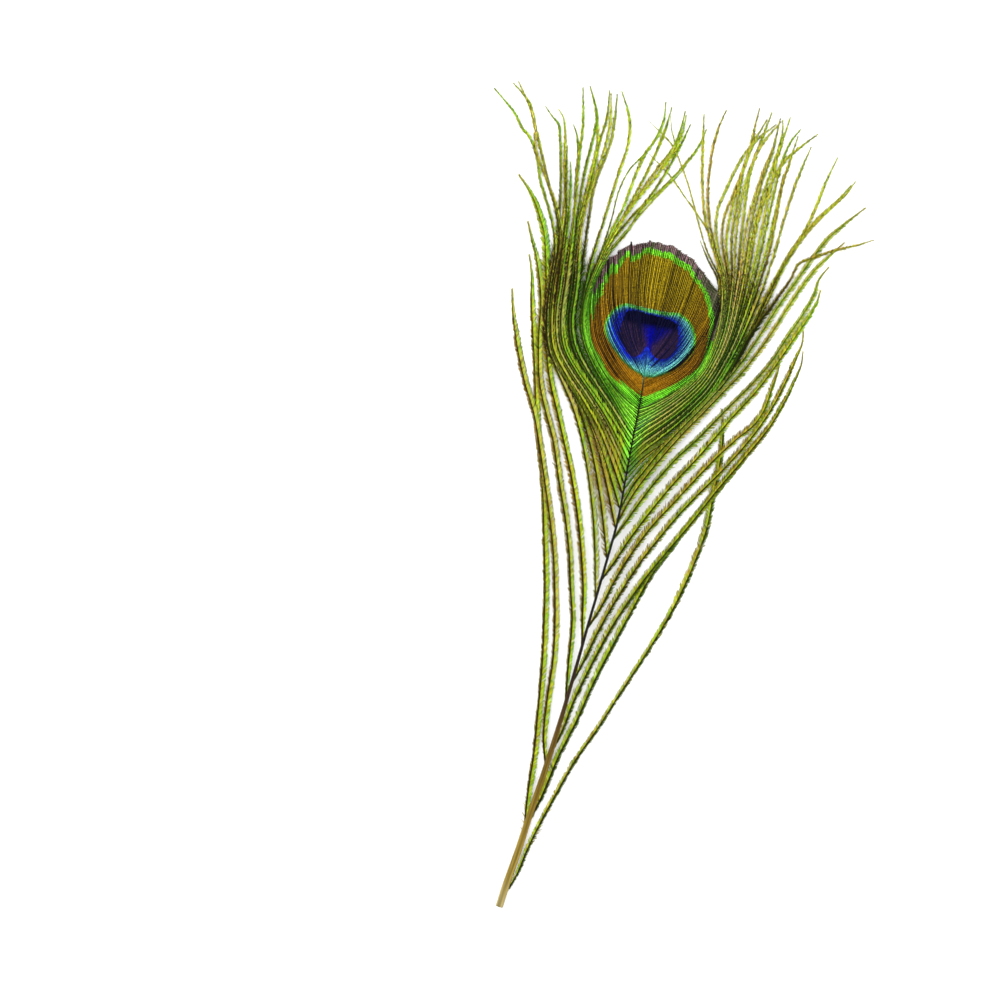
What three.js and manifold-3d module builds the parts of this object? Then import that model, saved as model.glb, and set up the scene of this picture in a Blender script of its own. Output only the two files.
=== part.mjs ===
// A peacock tail feather lying face up on a flat surface.
// Millimetres, +Z up. The shaft runs along +Y from the cut quill to the eye.
// The origin is on the flat underside of the quill, 8 mm from its cut end.
// The feather grew in one piece: shaft, loose barbs, eye and plumes are joined in one solid.

import * as THREE from "three";
import { mergeVertices } from "three/addons/utils/BufferGeometryUtils.js";
import Module from "manifold-3d";

// ---------------------------------------------------------------- driving dimensions

const QUILL_WIDTH = 2.3;          // across the quill at its cut end
const QUILL_FLAT_LENGTH = 10;     // the quill lies level from its cut end to here
const SHAFT_STEPS = 44;
const SHAFT_SIDES = 8;
const SHAFT_ROUNDNESS = 0.92;     // height of the shaft as a share of its width
const ARCH_HEIGHT = 2.7;          // how far the middle of the shaft bows up off the surface
const EYE_HEIGHT = 1.4;           // middle of the eye's thickness above the surface
const EYE_THICKNESS = 1.0;

const BARB_WIDTH = 1.8;           // over the barbules of one barb
const BARB_THICKNESS = 0.8;
const BARB_SIDES = 4;
const BARB_STEP_LENGTH = 12;      // length of one straight stretch of a barb
const BARB_ROOT_WIDTH = 1.0;
const BARB_TIP_WIDTH = 0.35;
const BARB_TIP_THICKNESS = 0.3;
const TIP_FINE_SHARE = 0.22;      // last share of a barb, over which it narrows to its tip

const FRINGE_TOOTH = 1.9;         // width of one barb tip in the fringe of the eye
const FRINGE_DEPTH = 0.7;

// ---------------------------------------------------------------- the shaft's route and width

// Places along the shaft from the cut end to the heart of the eye: [y, x, width].
const SHAFT_ROUTE = [
  [-8, -0.6, QUILL_WIDTH],
  [0, -0.2, QUILL_WIDTH],
  [10, 0.6, 2.2],
  [20, 1.1, 2.0],
  [40, 2.3, 1.8],
  [60, 2.9, 1.2],
  [80, 3.2, 0.9],
  [100, 3.6, 0.85],
  [113, 3.7, 0.8],
  [125, 2.8, 0.75],
  [137, 1.8, 0.7],
  [151, 0.9, 0.65],
  [165, -0.6, 0.6],
];

function shaftAt(y) {
  let i = 1;
  while (i < SHAFT_ROUTE.length - 1 && SHAFT_ROUTE[i][0] < y) {
    i += 1;
  }
  const [y0, x0, w0] = SHAFT_ROUTE[i - 1];
  const [y1, x1, w1] = SHAFT_ROUTE[i];
  const share = (y - y0) / (y1 - y0);
  return { x: x0 + share * (x1 - x0), width: w0 + share * (w1 - w0) };
}

// The underside of an eight-sided shaft is a flat this far below its middle.
const FLAT_SHARE = Math.cos(Math.PI / SHAFT_SIDES);
const QUILL_MIDDLE = 0.5 * QUILL_WIDTH * SHAFT_ROUNDNESS * FLAT_SHARE;

// The shaft lies level at the quill, bows up, and comes down into the eye.
function shaftHeight(y) {
  const rise = THREE.MathUtils.smoothstep(y, QUILL_FLAT_LENGTH, 85);
  const fall = THREE.MathUtils.smoothstep(y, 95, 150);
  const top = QUILL_MIDDLE + ARCH_HEIGHT;
  return QUILL_MIDDLE + rise * ARCH_HEIGHT - fall * (top - EYE_HEIGHT - 0.35);
}

// ---------------------------------------------------------------- tapered sweeps

// A unit cylinder bent along a route in plan. Its section stays upright, and
// its middle, width and thickness follow functions of the share of the route.
function sweep(route, sides, steps, firstCorner, middleAt, widthAt, thicknessAt) {
  const points = route.map(([x, y]) => new THREE.Vector3(x, y, 0));
  const curve = new THREE.CatmullRomCurve3(points, false, "centripetal");
  const geometry = new THREE.CylinderGeometry(1, 1, 1, sides, steps, false, firstCorner);
  const position = geometry.attributes.position;
  for (let i = 0; i < position.count; i += 1) {
    const share = position.getY(i) + 0.5;
    const middle = curve.getPointAt(share);
    const along = curve.getTangentAt(share);
    const across = 0.5 * widthAt(share, middle.y) * position.getX(i);
    const lift = 0.5 * thicknessAt(share, middle.y) * position.getZ(i);
    position.setXYZ(
      i,
      middle.x + along.y * across,
      middle.y - along.x * across,
      middleAt(share, middle.y) + lift,
    );
  }
  return geometry;
}

function shaftGeometry() {
  const route = SHAFT_ROUTE.map(([y, x]) => [x, y]);
  const widthAt = (share, y) => shaftAt(y).width;
  // Level over the quill, so that its underside is one flat.
  const thicknessAt = (share, y) => {
    const width = y < QUILL_FLAT_LENGTH ? QUILL_WIDTH : shaftAt(y).width;
    return width * SHAFT_ROUNDNESS;
  };
  const middleAt = (share, y) => shaftHeight(y);
  const corner = Math.PI / SHAFT_SIDES;
  return sweep(route, SHAFT_SIDES, SHAFT_STEPS, corner, middleAt, widthAt, thicknessAt);
}

// ---------------------------------------------------------------- barbs

// Loose barbs on the left of the shaft: the root's place along the shaft, then
// the points the barb passes, the last being its tip.
const LOOSE_LEFT = [
  [15, [-2.4, 39], [-6.8, 65], [-12.3, 89], [-20.3, 116], [-25.8, 130], [-31.8, 150],
    [-38.2, 170], [-42.5, 183]],
  [36, [-2.8, 56], [-6.8, 80], [-13.5, 102], [-21.3, 121], [-27, 134], [-33.6, 145],
    [-39.1, 157.5], [-44.8, 171.8]],
  [56, [-1.8, 81], [-7.8, 100], [-16.5, 120.5], [-25.5, 139], [-31.3, 153], [-35.5, 171],
    [-40.5, 183.6], [-45.4, 192.5]],
  [74, [-0.8, 90], [-7.7, 110], [-16, 128], [-24.6, 144], [-30.5, 158], [-34.2, 172],
    [-37.2, 183], [-42, 194], [-51.6, 205.4]],
];

// Loose barbs on the right of the shaft.
const LOOSE_RIGHT = [
  [-5, [3, 10], [7.6, 31], [14, 51], [20.3, 70.5], [25.7, 88], [29, 105], [30.1, 119],
    [29, 136], [27.5, 146], [25.4, 153.2]],
  [17, [4.9, 40], [9.3, 64], [14.8, 88], [21, 108], [29.5, 127], [35.5, 140], [39.6, 150], [41.9, 158]],
  [40, [4.8, 56], [9.8, 80], [17, 100], [24, 115], [30.6, 130.5], [37, 143.5], [41.3, 154],
    [44, 166], [44.9, 172.5], [44.4, 176.2]],
  [62, [6.3, 78], [12, 98.5], [20.5, 118.5], [29.5, 134.5], [36.2, 148], [40.3, 160],
    [42.8, 173], [43.5, 178], [43, 182]],
  [79.5, [9, 101], [14.5, 115], [22.5, 130], [31, 144.5], [36.3, 151], [38.2, 161], [38.4, 172]],
  [94.5, [10.5, 113.5], [17.5, 129], [24.5, 143], [32.5, 158.7], [37.8, 171], [41.7, 182],
    [44.6, 190.5], [44.7, 195.3]],
  [107, [8.8, 120.5], [16, 136], [24, 149], [31, 161.2], [36.3, 173], [40, 183], [43.2, 193.5],
    [43.6, 199.7], [45.2, 202.7]],
  [112, [6, 121.5], [12.2, 136], [19.5, 150], [27.5, 164.5], [32.2, 175], [36.5, 188],
    [39.8, 198], [44.5, 205.5], [47.8, 211]],
  [116, [5, 124], [11, 137], [17.5, 148.5], [24, 161], [28.9, 173], [33.8, 188], [38.2, 200.5],
    [43.2, 212], [51.2, 222.7]],
];

// Barbs that run from the shaft into the dense part of the vane.
const HEART_LEFT = [
  [88.5, [-2.9, 110], [-11, 129.5], [-19, 143.5]],
  [101, [-0.3, 113], [-6.5, 126], [-14, 138]],
  [110.5, [-0.8, 122], [-6, 131.5], [-9, 136]],
];

// Plumes of the left side, from inside the vane to their tips.
const PLUMES_LEFT = [
  [[-33.6, 177], [-35.6, 188], [-40, 197], [-45, 205.5], [-48.5, 213], [-54, 219], [-65.3, 228.5]],
  [[-32.8, 177], [-35, 190], [-40, 200.5], [-44, 208], [-48.5, 216], [-53.5, 226], [-60.2, 231.5]],
  [[-32, 177], [-33.8, 189], [-38, 198.5], [-43.5, 206], [-49.8, 217.5], [-54, 226.5], [-58.9, 232.4]],
  [[-34.2, 179], [-36.5, 195], [-39, 206.5], [-42, 217.5], [-44, 223], [-49.1, 227.2]],
  [[-33.2, 179], [-35.5, 196], [-38, 208], [-41, 219.5], [-42.6, 224], [-45.1, 227.4]],
  [[-32.4, 179], [-35, 198], [-38, 210], [-39.8, 217.5]],
  [[-31.6, 179], [-34, 197], [-36, 206.5], [-37.7, 213]],
  [[-30.8, 179], [-32.3, 196], [-34.6, 208], [-36.4, 217.5], [-39.7, 224.2]],
  [[-30, 179], [-31.8, 194], [-34.3, 208], [-36.5, 222], [-39.8, 235.5]],
  [[-29.4, 179], [-31, 197], [-32.7, 209], [-33.2, 224], [-34.5, 231], [-37.8, 236.5]],
  [[-28.8, 179], [-30.2, 195], [-30.2, 210], [-30.8, 221], [-30.7, 229], [-31.9, 236.8]],
  [[-28, 179], [-29.5, 195], [-29.5, 210], [-28.9, 222], [-29.5, 229], [-31.2, 236]],
  [[-26.8, 179], [-28.5, 198], [-29, 208], [-27.5, 222], [-28.2, 229], [-29.4, 236.2]],
  [[-24.2, 176], [-24, 190], [-23.3, 205], [-22.4, 220], [-24.2, 230.5], [-28.2, 237.4]],
  [[-22.9, 177], [-21, 193], [-18.8, 205], [-17.5, 217], [-14.6, 227.5], [-14.6, 237.7]],
  [[-22.9, 178], [-21.5, 188], [-17.8, 203], [-14.8, 216.5], [-13, 227], [-12.7, 236.7]],
  [[-22.6, 177], [-21.2, 189], [-17.5, 203], [-12, 217.5], [-8.9, 226], [-8.4, 236.6]],
  [[-22.3, 177], [-20.6, 190], [-16.4, 204], [-11, 214], [-7.6, 224.5], [-6, 233.2]],
  [[-22, 177], [-19.8, 189.5], [-14.5, 201.5], [-9, 212.5], [-3.5, 223], [-0.9, 233]],
];

// Plumes of the right side, from inside the vane to their tips.
const PLUMES_RIGHT = [
  [[27.8, 176], [30.5, 190], [33, 202], [37, 212.5], [42, 221], [46.3, 229.5]],
  [[27, 176], [29.6, 190], [32.6, 203], [36.3, 215], [37.4, 225], [39.3, 235]],
  [[27.6, 180], [31.6, 190], [35.4, 199.5], [38.5, 203.8], [46, 207.7], [56, 214]],
  [[25.2, 176], [27.5, 192], [28.4, 207], [28.9, 221], [30.8, 235.9]],
  [[24.4, 176], [26.2, 192], [26.6, 207], [25.6, 222], [26.2, 238]],
  [[23.6, 176], [24.8, 192], [24, 210], [23.5, 227], [24.4, 236], [26.4, 240.4]],
  [[22.9, 176], [23.4, 192], [22.6, 208], [21.7, 225], [22.5, 243]],
  [[22.2, 176], [22.3, 192], [21.2, 210], [21.9, 222.5], [25.6, 232.3], [31.6, 240.2]],
  [[21.5, 176], [21, 192], [20, 208], [20.8, 224], [20.6, 241.6]],
  [[20.8, 176], [19.9, 192], [18.2, 210], [18.8, 224], [19.7, 241.9]],
  [[20.2, 176], [18.8, 192], [17.2, 205], [15.2, 220], [15.9, 233], [16.8, 243]],
  [[19.7, 176], [18, 191], [15, 204], [14, 218], [15.2, 229], [20, 241]],
  [[19.2, 176], [17.4, 191], [13, 203], [12.8, 218], [13.4, 231], [15.9, 240.5]],
  [[18.8, 176], [16.9, 190], [11.2, 205], [12.2, 218], [13.4, 232], [12.9, 243.2]],
  [[18.5, 177], [16.2, 190], [9.2, 204.5], [9.2, 216], [13, 231], [18.8, 239.8]],
  [[18.3, 177], [15.6, 189.5], [7.5, 205], [3.9, 217.5], [2.4, 230], [3.4, 240.2]],
  [[18.1, 177], [15.1, 189.5], [5.8, 206.5], [1.4, 219.5], [-2.7, 237.2]],
  [[17.9, 178], [14.6, 189.5], [4, 205.5], [-4, 219], [-9.5, 225.8], [-17.8, 231]],
  [[17.8, 178], [14, 190], [8.8, 202.5], [0, 210.2], [-8, 217], [-15.3, 221.5]],
];

function routeLength(route) {
  let length = 0;
  for (let i = 1; i < route.length; i += 1) {
    length += Math.hypot(route[i][0] - route[i - 1][0], route[i][1] - route[i - 1][1]);
  }
  return length;
}

// A barb with its barbules: a flat ribbon with a ridge, lying down to its tip.
function barbGeometry(route, startHeight) {
  const steps = Math.max(4, Math.round(routeLength(route) / BARB_STEP_LENGTH));
  const fineFrom = 1 - TIP_FINE_SHARE;
  const widthAt = (share) => {
    const full = THREE.MathUtils.lerp(BARB_ROOT_WIDTH, BARB_WIDTH, Math.min(1, share * 4));
    const fine = THREE.MathUtils.clamp((share - fineFrom) / TIP_FINE_SHARE, 0, 1);
    return THREE.MathUtils.lerp(full, BARB_TIP_WIDTH, fine);
  };
  const thicknessAt = (share) => {
    const fine = THREE.MathUtils.clamp((share - fineFrom) / TIP_FINE_SHARE, 0, 1);
    return THREE.MathUtils.lerp(BARB_THICKNESS, BARB_TIP_THICKNESS, fine);
  };
  // It comes down from where it starts until it lies on the surface.
  const middleAt = (share) => {
    const lying = 0.5 * thicknessAt(share);
    return lying + (startHeight - 0.5 * BARB_THICKNESS) * (1 - share) ** 1.5;
  };
  return sweep(route, BARB_SIDES, steps, 0, middleAt, widthAt, thicknessAt);
}

function rootedBarb([rootPlace, ...points]) {
  const root = [shaftAt(rootPlace).x, rootPlace];
  return barbGeometry([root, ...points], shaftHeight(rootPlace));
}

function plume(route) {
  return barbGeometry(route, EYE_HEIGHT);
}

// ---------------------------------------------------------------- the dense vane with the eye

// Outline of the dense part of the vane, where barbs lie side by side, from
// the shaft round its left flank to the notch between the flank and the eye.
const LEFT_FLANK = [
  [3, 123],
  [-3, 128.5],
  [-9, 133.5],
  [-20, 144],
  [-27, 153],
  [-32, 163],
  [-34.6, 174],
  [-36.2, 186],
  [-30.5, 188.5],
  [-26.6, 187],
  [-24.7, 180.5],
];

// The fringe over the eye, from the left notch over the top to the right one.
const FRINGE = [
  [-24, 180.5],
  [-22.3, 184],
  [-17.5, 189],
  [-12, 193.8],
  [-5, 196.8],
  [3, 195],
  [8.6, 192.7],
  [14.2, 187.2],
  [17.4, 183.5],
];

const RIGHT_FLANK = [
  [18, 183.8],
  [18.6, 188],
  [24, 190.5],
  [29.8, 187.5],
  [27.6, 176],
  [24.6, 165.5],
  [20, 153],
  [15.5, 143.5],
  [10.5, 134.5],
  [6.5, 129],
];

// Barb tips stand side by side along the fringe, each a small tooth.
function toothedFringe() {
  const points = FRINGE.map(([x, y]) => new THREE.Vector3(x, y, 0));
  const curve = new THREE.CatmullRomCurve3(points, false, "centripetal");
  const teeth = Math.round(curve.getLength() / FRINGE_TOOTH);
  const outline = [];
  for (let i = 0; i <= 2 * teeth; i += 1) {
    const share = i / (2 * teeth);
    const place = curve.getPointAt(share);
    const along = curve.getTangentAt(share);
    const depth = i % 2 === 0 ? FRINGE_DEPTH : 0;
    outline.push([place.x + along.y * depth, place.y - along.x * depth]);
  }
  return outline;
}

function vaneGeometry() {
  const outline = [...LEFT_FLANK, ...toothedFringe(), ...RIGHT_FLANK];
  const shape = new THREE.Shape(outline.map(([x, y]) => new THREE.Vector2(x, y)));
  const geometry = new THREE.ExtrudeGeometry(shape, { depth: EYE_THICKNESS, bevelEnabled: false });
  geometry.translate(0, 0, EYE_HEIGHT - 0.5 * EYE_THICKNESS);
  return geometry;
}

// ---------------------------------------------------------------- joining

const manifold = await Module();
manifold.setup();

function toSolid(geometry) {
  geometry.deleteAttribute("normal");
  geometry.deleteAttribute("uv");
  const merged = mergeVertices(geometry, 1e-4);
  return new manifold.Manifold(new manifold.Mesh({
    numProp: 3,
    vertProperties: new Float32Array(merged.attributes.position.array),
    triVerts: new Uint32Array(merged.index.array),
  }));
}

function toGeometry(solid) {
  const mesh = solid.getMesh();
  const geometry = new THREE.BufferGeometry();
  geometry.setAttribute("position", new THREE.BufferAttribute(mesh.vertProperties, 3));
  geometry.setIndex(new THREE.BufferAttribute(mesh.triVerts, 1));
  geometry.computeVertexNormals();
  return geometry;
}

const pieces = [
  vaneGeometry(),
  ...LOOSE_LEFT.map(rootedBarb),
  ...LOOSE_RIGHT.map(rootedBarb),
  ...HEART_LEFT.map(rootedBarb),
  ...PLUMES_LEFT.map(plume),
  ...PLUMES_RIGHT.map(plume),
];

let featherSolid = toSolid(shaftGeometry());
for (const piece of pieces) {
  featherSolid = featherSolid.add(toSolid(piece));
}

const barbMaterial = new THREE.MeshStandardMaterial({
  color: 0x6d7a26,
  roughness: 0.45,
  metalness: 0.25,
});

const feather = new THREE.Mesh(toGeometry(featherSolid), barbMaterial);
feather.name = "feather";

const model = new THREE.Group();
model.add(feather);

export default model;
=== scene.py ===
# %% [markdown]
# # A peacock's eye feather
# The feather lies face up on a pale table. It has one tapering shaft, and from the shaft
# grow barbs. Each barb is a thin brown rod, the ramus, with two rows of tiny blades, the
# barbules. The barbules carry the colour. We make them one by one as real mesh, because
# they give the feather its fuzzy edges, and because an exported model keeps only mesh.

# %% Load the frame and keep the CAD box
import math

import bpy
import numpy as np
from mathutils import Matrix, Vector


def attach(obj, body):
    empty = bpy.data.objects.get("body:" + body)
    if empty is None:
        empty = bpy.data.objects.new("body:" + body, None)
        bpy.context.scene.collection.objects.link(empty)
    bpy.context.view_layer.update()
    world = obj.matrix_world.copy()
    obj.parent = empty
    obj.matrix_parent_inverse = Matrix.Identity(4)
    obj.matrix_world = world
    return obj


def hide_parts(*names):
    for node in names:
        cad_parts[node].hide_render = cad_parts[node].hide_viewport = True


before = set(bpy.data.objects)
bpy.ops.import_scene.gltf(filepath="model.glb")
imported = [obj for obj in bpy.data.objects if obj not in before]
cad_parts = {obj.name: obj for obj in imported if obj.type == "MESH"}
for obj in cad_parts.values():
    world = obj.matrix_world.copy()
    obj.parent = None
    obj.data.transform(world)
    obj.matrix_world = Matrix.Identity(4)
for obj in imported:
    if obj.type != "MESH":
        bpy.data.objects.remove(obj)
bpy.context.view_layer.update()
MM = 0.001
rng = np.random.default_rng(11)

# %% [markdown]
# ## Smooth routes from a few points
# A barb bends gently, so a handful of points says where it runs. A centripetal
# Catmull-Rom curve passes through every point and never loops between them. We resample
# it at equal steps, because barbules grow at equal distances along their barb.


# %% Curve helpers
def smooth_route(points, step, closed=False):
    """Points at equal steps along a smooth curve through the given points."""
    p = np.asarray(points, float)
    if closed:
        p = np.vstack([p[-1], p, p[0], p[1]])
    else:
        p = np.vstack([2 * p[0] - p[1], p, 2 * p[-1] - p[-2]])
    spans = []
    for p0, p1, p2, p3 in zip(p, p[1:], p[2:], p[3:]):
        k1 = math.dist(p0, p1) ** 0.5
        k2 = k1 + math.dist(p1, p2) ** 0.5
        k3 = k2 + math.dist(p2, p3) ** 0.5
        t = np.linspace(k1, k2, 16, endpoint=False)[:, None]
        a = (k1 - t) / k1 * p0 + t / k1 * p1
        b = (k2 - t) / (k2 - k1) * p1 + (t - k1) / (k2 - k1) * p2
        c = (k3 - t) / (k3 - k2) * p2 + (t - k2) / (k3 - k2) * p3
        d = (k2 - t) / k2 * a + t / k2 * b
        e = (k3 - t) / (k3 - k1) * b + (t - k1) / (k3 - k1) * c
        spans.append((k2 - t) / (k2 - k1) * d + (t - k1) / (k2 - k1) * e)
    dense = np.vstack(spans + [p[-2][None, :]])
    arc = np.concatenate([[0], np.cumsum(np.linalg.norm(np.diff(dense, axis=0), axis=1))])
    count = max(3, int(round(arc[-1] / step)) + 1)
    s = np.linspace(0, arc[-1], count)
    return np.column_stack([np.interp(s, arc, dense[:, i]) for i in range(p.shape[1])])


def smoothstep(x, low, high):
    """0 below low, 1 above high, and a smooth ramp between them."""
    t = np.clip((np.asarray(x, float) - low) / (high - low), 0, 1)
    return t * t * (3 - 2 * t)


def slow_noise(count, step, period, seed):
    """Smooth random values, about -1 to 1, that change over the given period."""
    own = np.random.default_rng(seed)
    knots = own.uniform(-1, 1, int(count * step / period) + 4)
    x = np.arange(count) * step / period
    i = x.astype(int)
    t = x - i
    t = t * t * (3 - 2 * t)
    return knots[i] * (1 - t) + knots[i + 1] * t


# %% [markdown]
# ## The shaft
# The shaft starts as a stout tube, the quill, and thins to a hair inside the eye. It
# bows up a little from the table. We keep its route and widths as one table, the same as
# in the solid model, so that every barb knows where its root sits.

# %% The shaft's route, in millimetres: y, x and width
SHAFT_ROUTE = np.array([
    [-8, -0.6, 2.3], [0, -0.2, 2.3], [10, 0.6, 2.2], [20, 1.1, 2.0], [40, 2.3, 1.8],
    [60, 2.9, 1.2], [80, 3.2, 0.9], [100, 3.6, 0.85], [113, 3.7, 0.8], [125, 2.8, 0.62],
    [137, 1.8, 0.5], [151, 0.9, 0.45], [158, 0, 0.34], [165, -1.1, 0.12],
])
QUILL_MIDDLE = 0.977     # height of the quill's axis above the table
ARCH_HEIGHT = 2.7
EYE_HEIGHT = 1.4
SHAFT_OVER_VANE = 0.6
SHAFT_RISES = (10, 85)
SHAFT_FALLS = (95, 150)
print("the shaft runs from", SHAFT_ROUTE[0, 0], "to", SHAFT_ROUTE[-1, 0], "mm")


def shaft_x(y):
    return np.interp(y, SHAFT_ROUTE[:, 0], SHAFT_ROUTE[:, 1])


def shaft_width(y):
    return np.interp(y, SHAFT_ROUTE[:, 0], SHAFT_ROUTE[:, 2])


def shaft_height(y):
    """The shaft bows up from the quill and comes down again to the height of the vane."""
    top = QUILL_MIDDLE + ARCH_HEIGHT
    rise = smoothstep(y, *SHAFT_RISES)
    fall = smoothstep(y, *SHAFT_FALLS)
    return QUILL_MIDDLE + rise * ARCH_HEIGHT - fall * (top - EYE_HEIGHT - SHAFT_OVER_VANE)


# %% [markdown]
# ## Mesh building
# Hundreds of thousands of small faces are too many for one call each. We collect the
# corners and faces as number arrays and hand them to Blender in one go.


# %% Mesh helpers
def add_mesh(name, corners_mm, faces, values=None, bake_uv=None, smooth=True):
    """A mesh object from arrays. Faces is a list of arrays, one for each face size."""
    mesh = bpy.data.meshes.new(name)
    mesh.vertices.add(len(corners_mm))
    mesh.vertices.foreach_set("co", (corners_mm * MM).astype(np.float32).ravel())
    loops = np.concatenate([f.ravel() for f in faces])
    sizes = np.concatenate([np.full(len(f), f.shape[1]) for f in faces])
    starts = np.concatenate([[0], np.cumsum(sizes)[:-1]])
    mesh.loops.add(len(loops))
    mesh.loops.foreach_set("vertex_index", loops.astype(np.int32))
    mesh.polygons.add(len(sizes))
    mesh.polygons.foreach_set("loop_start", starts.astype(np.int32))
    mesh.polygons.foreach_set("use_smooth", np.full(len(sizes), smooth))
    for key, data in (values or {}).items():
        layer = mesh.attributes.new(key, "FLOAT", "POINT")
        layer.data.foreach_set("value", np.asarray(data, np.float32))
    if bake_uv is not None:
        uv_map = mesh.uv_layers.new(name="OFBake")
        uv_map.data.foreach_set("uv", bake_uv[loops].astype(np.float32).ravel())
    mesh.update(calc_edges=True)
    mesh.validate()
    piece = bpy.data.objects.new(name, mesh)
    bpy.context.scene.collection.objects.link(piece)
    return piece


def tube(route, widths, heights, sides):
    """Corners and faces of a closed tapering tube along a route of x, y, z."""
    n = len(route)
    along = np.gradient(route[:, :2], axis=0)
    along /= np.linalg.norm(along, axis=1)[:, None]
    angle = 2 * np.pi * (np.arange(sides) + 0.5) / sides
    across = np.cos(angle)[None, :] * 0.5 * np.asarray(widths)[:, None]
    lift = np.sin(angle)[None, :] * 0.5 * np.asarray(heights)[:, None]
    x = route[:, 0, None] + along[:, 1, None] * across
    y = route[:, 1, None] - along[:, 0, None] * across
    z = route[:, 2, None] + lift
    corners = np.stack([x, y, z], axis=2).reshape(-1, 3)
    i = np.arange(n - 1)[:, None] * sides
    j = np.arange(sides)[None, :]
    k = (j + 1) % sides
    walls = np.stack([i + j, i + sides + j, i + sides + k, i + k], axis=2).reshape(-1, 4)
    start = np.arange(sides)[None, :]
    end = (n - 1) * sides + np.arange(sides)[::-1][None, :]
    return corners, walls, start, end


# %% [markdown]
# ## Where the barbs run
# The barbs low on the shaft hang loose, each on its own route. Higher up they lie close
# together in a dense vane, and past the eye their ends fan out as plumes. Each route
# below is a few given points in millimetres: across the feather, then along it.

# %% Loose barbs: the root's place on the shaft, then points up to the tip
LOOSE_LEFT = [
    (15, [(-1.2, 28), (-2.4, 39), (-4.4, 51), (-6.8, 65), (-9.2, 76), (-12.3, 89), (-15.5, 100),
          (-20.3, 116), (-24, 126), (-26, 131), (-31.8, 150), (-38.2, 170), (-40.4, 178), (-42.5, 183)]),
    (36, [(-1, 45), (-2.8, 56), (-4.2, 68), (-6.8, 80), (-10.2, 92), (-13.5, 102), (-17.5, 112),
          (-21.3, 121), (-25, 129.5), (-29, 138), (-33.3, 145), (-37.5, 153), (-40, 158.5),
          (-42.6, 165), (-44.8, 171.8)]),
    (56, [(0.9, 66), (-1.8, 81), (-4.7, 90), (-7.8, 100), (-11.5, 109.5), (-16.5, 120.5),
          (-21, 131), (-25.5, 139), (-29.5, 147), (-33, 159), (-35.5, 171), (-38, 178),
          (-40.5, 183.6), (-43, 188), (-45.4, 192.5)]),
    (74, [(1.1, 82), (-0.8, 90), (-4, 100), (-7.7, 110), (-12, 120), (-16, 128), (-22, 139.5),
          (-27, 149), (-31, 160), (-34.2, 172), (-37.2, 183), (-40, 191), (-42, 194.5),
          (-45, 199), (-48, 202.3), (-51.6, 205.4)]),
]
LOOSE_RIGHT = [
    (-5, [(1.9, 2), (3, 10), (4.6, 18.5), (7.6, 31), (10, 40), (14, 51), (17.5, 62), (20.3, 70.5),
          (23.2, 79.5), (25.7, 88), (27.5, 96), (29, 105), (30, 115), (30.1, 119), (29.5, 127),
          (29, 136), (28.3, 142), (27, 148), (25.4, 153.2)]),
    (17, [(3.1, 27), (4.9, 40), (7.4, 52), (9.3, 64), (12, 76.5), (14.8, 88), (17.5, 99), (21, 108),
          (25, 118), (29.5, 127), (33.2, 135.5), (36.6, 143.5), (39.6, 150), (41.2, 155), (42, 158)]),
    (40, [(4, 48), (4.8, 56), (6.2, 64), (9.8, 80), (12.3, 88), (16, 98), (20.5, 108), (25, 117.5),
          (30.6, 130.5), (34, 137.5), (37.5, 145), (40.5, 152), (42.8, 160), (44.2, 167),
          (44.9, 172.5), (44.4, 176.2)]),
    (62, [(4.8, 70), (6.3, 78), (8, 85), (10, 92), (12, 98.5), (14.2, 104.5), (17, 111),
          (20.5, 118.5), (24.5, 126), (29.5, 134.5), (34, 143), (37.3, 150.5), (39.8, 158),
          (41.6, 166), (42.9, 174), (43.5, 178.5), (43, 182)]),
    (79.5, [(5.5, 86.5), (7, 93.5), (9, 101), (11.5, 108), (14.5, 115), (18.3, 122), (22.5, 130),
            (27.5, 139), (32, 146), (35.8, 151.3), (37.6, 156.5), (38.1, 163), (38.6, 168.5),
            (38.3, 172)]),
    (94.5, [(6, 101), (8, 107), (10.5, 113.5), (13.7, 121), (17.5, 129), (21.8, 137), (25.7, 145),
            (29, 152), (33, 159.5), (36.3, 167), (39, 174.5), (41.3, 181), (43.4, 187),
            (44.6, 191.5), (44.7, 195.3)]),
    (107, [(6.2, 113.5), (8.8, 120.5), (12, 128), (16, 135.7), (20, 142), (24, 149), (28, 156),
           (32, 163), (35.5, 170), (38.5, 179), (41, 186), (43, 193), (43.4, 198.5), (45.2, 202.7)]),
    (112, [(5.9, 121), (8.5, 128), (12.2, 136), (16, 143.5), (20, 150.5), (24, 157.8),
           (28, 165), (32, 174.5), (34.3, 181), (36.5, 188), (39.3, 196), (42, 202), (45.5, 207.5),
           (47.8, 211)]),
    (116, [(5.2, 123.5), (7.8, 130), (11, 137), (14.5, 143.5), (18.5, 150.5), (22.5, 158),
           (26.5, 166.5), (30, 176), (33.6, 187.5), (36.8, 196), (39.5, 203.5), (42.8, 211),
           (46.5, 216.5), (51.2, 222.7)]),
]

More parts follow.
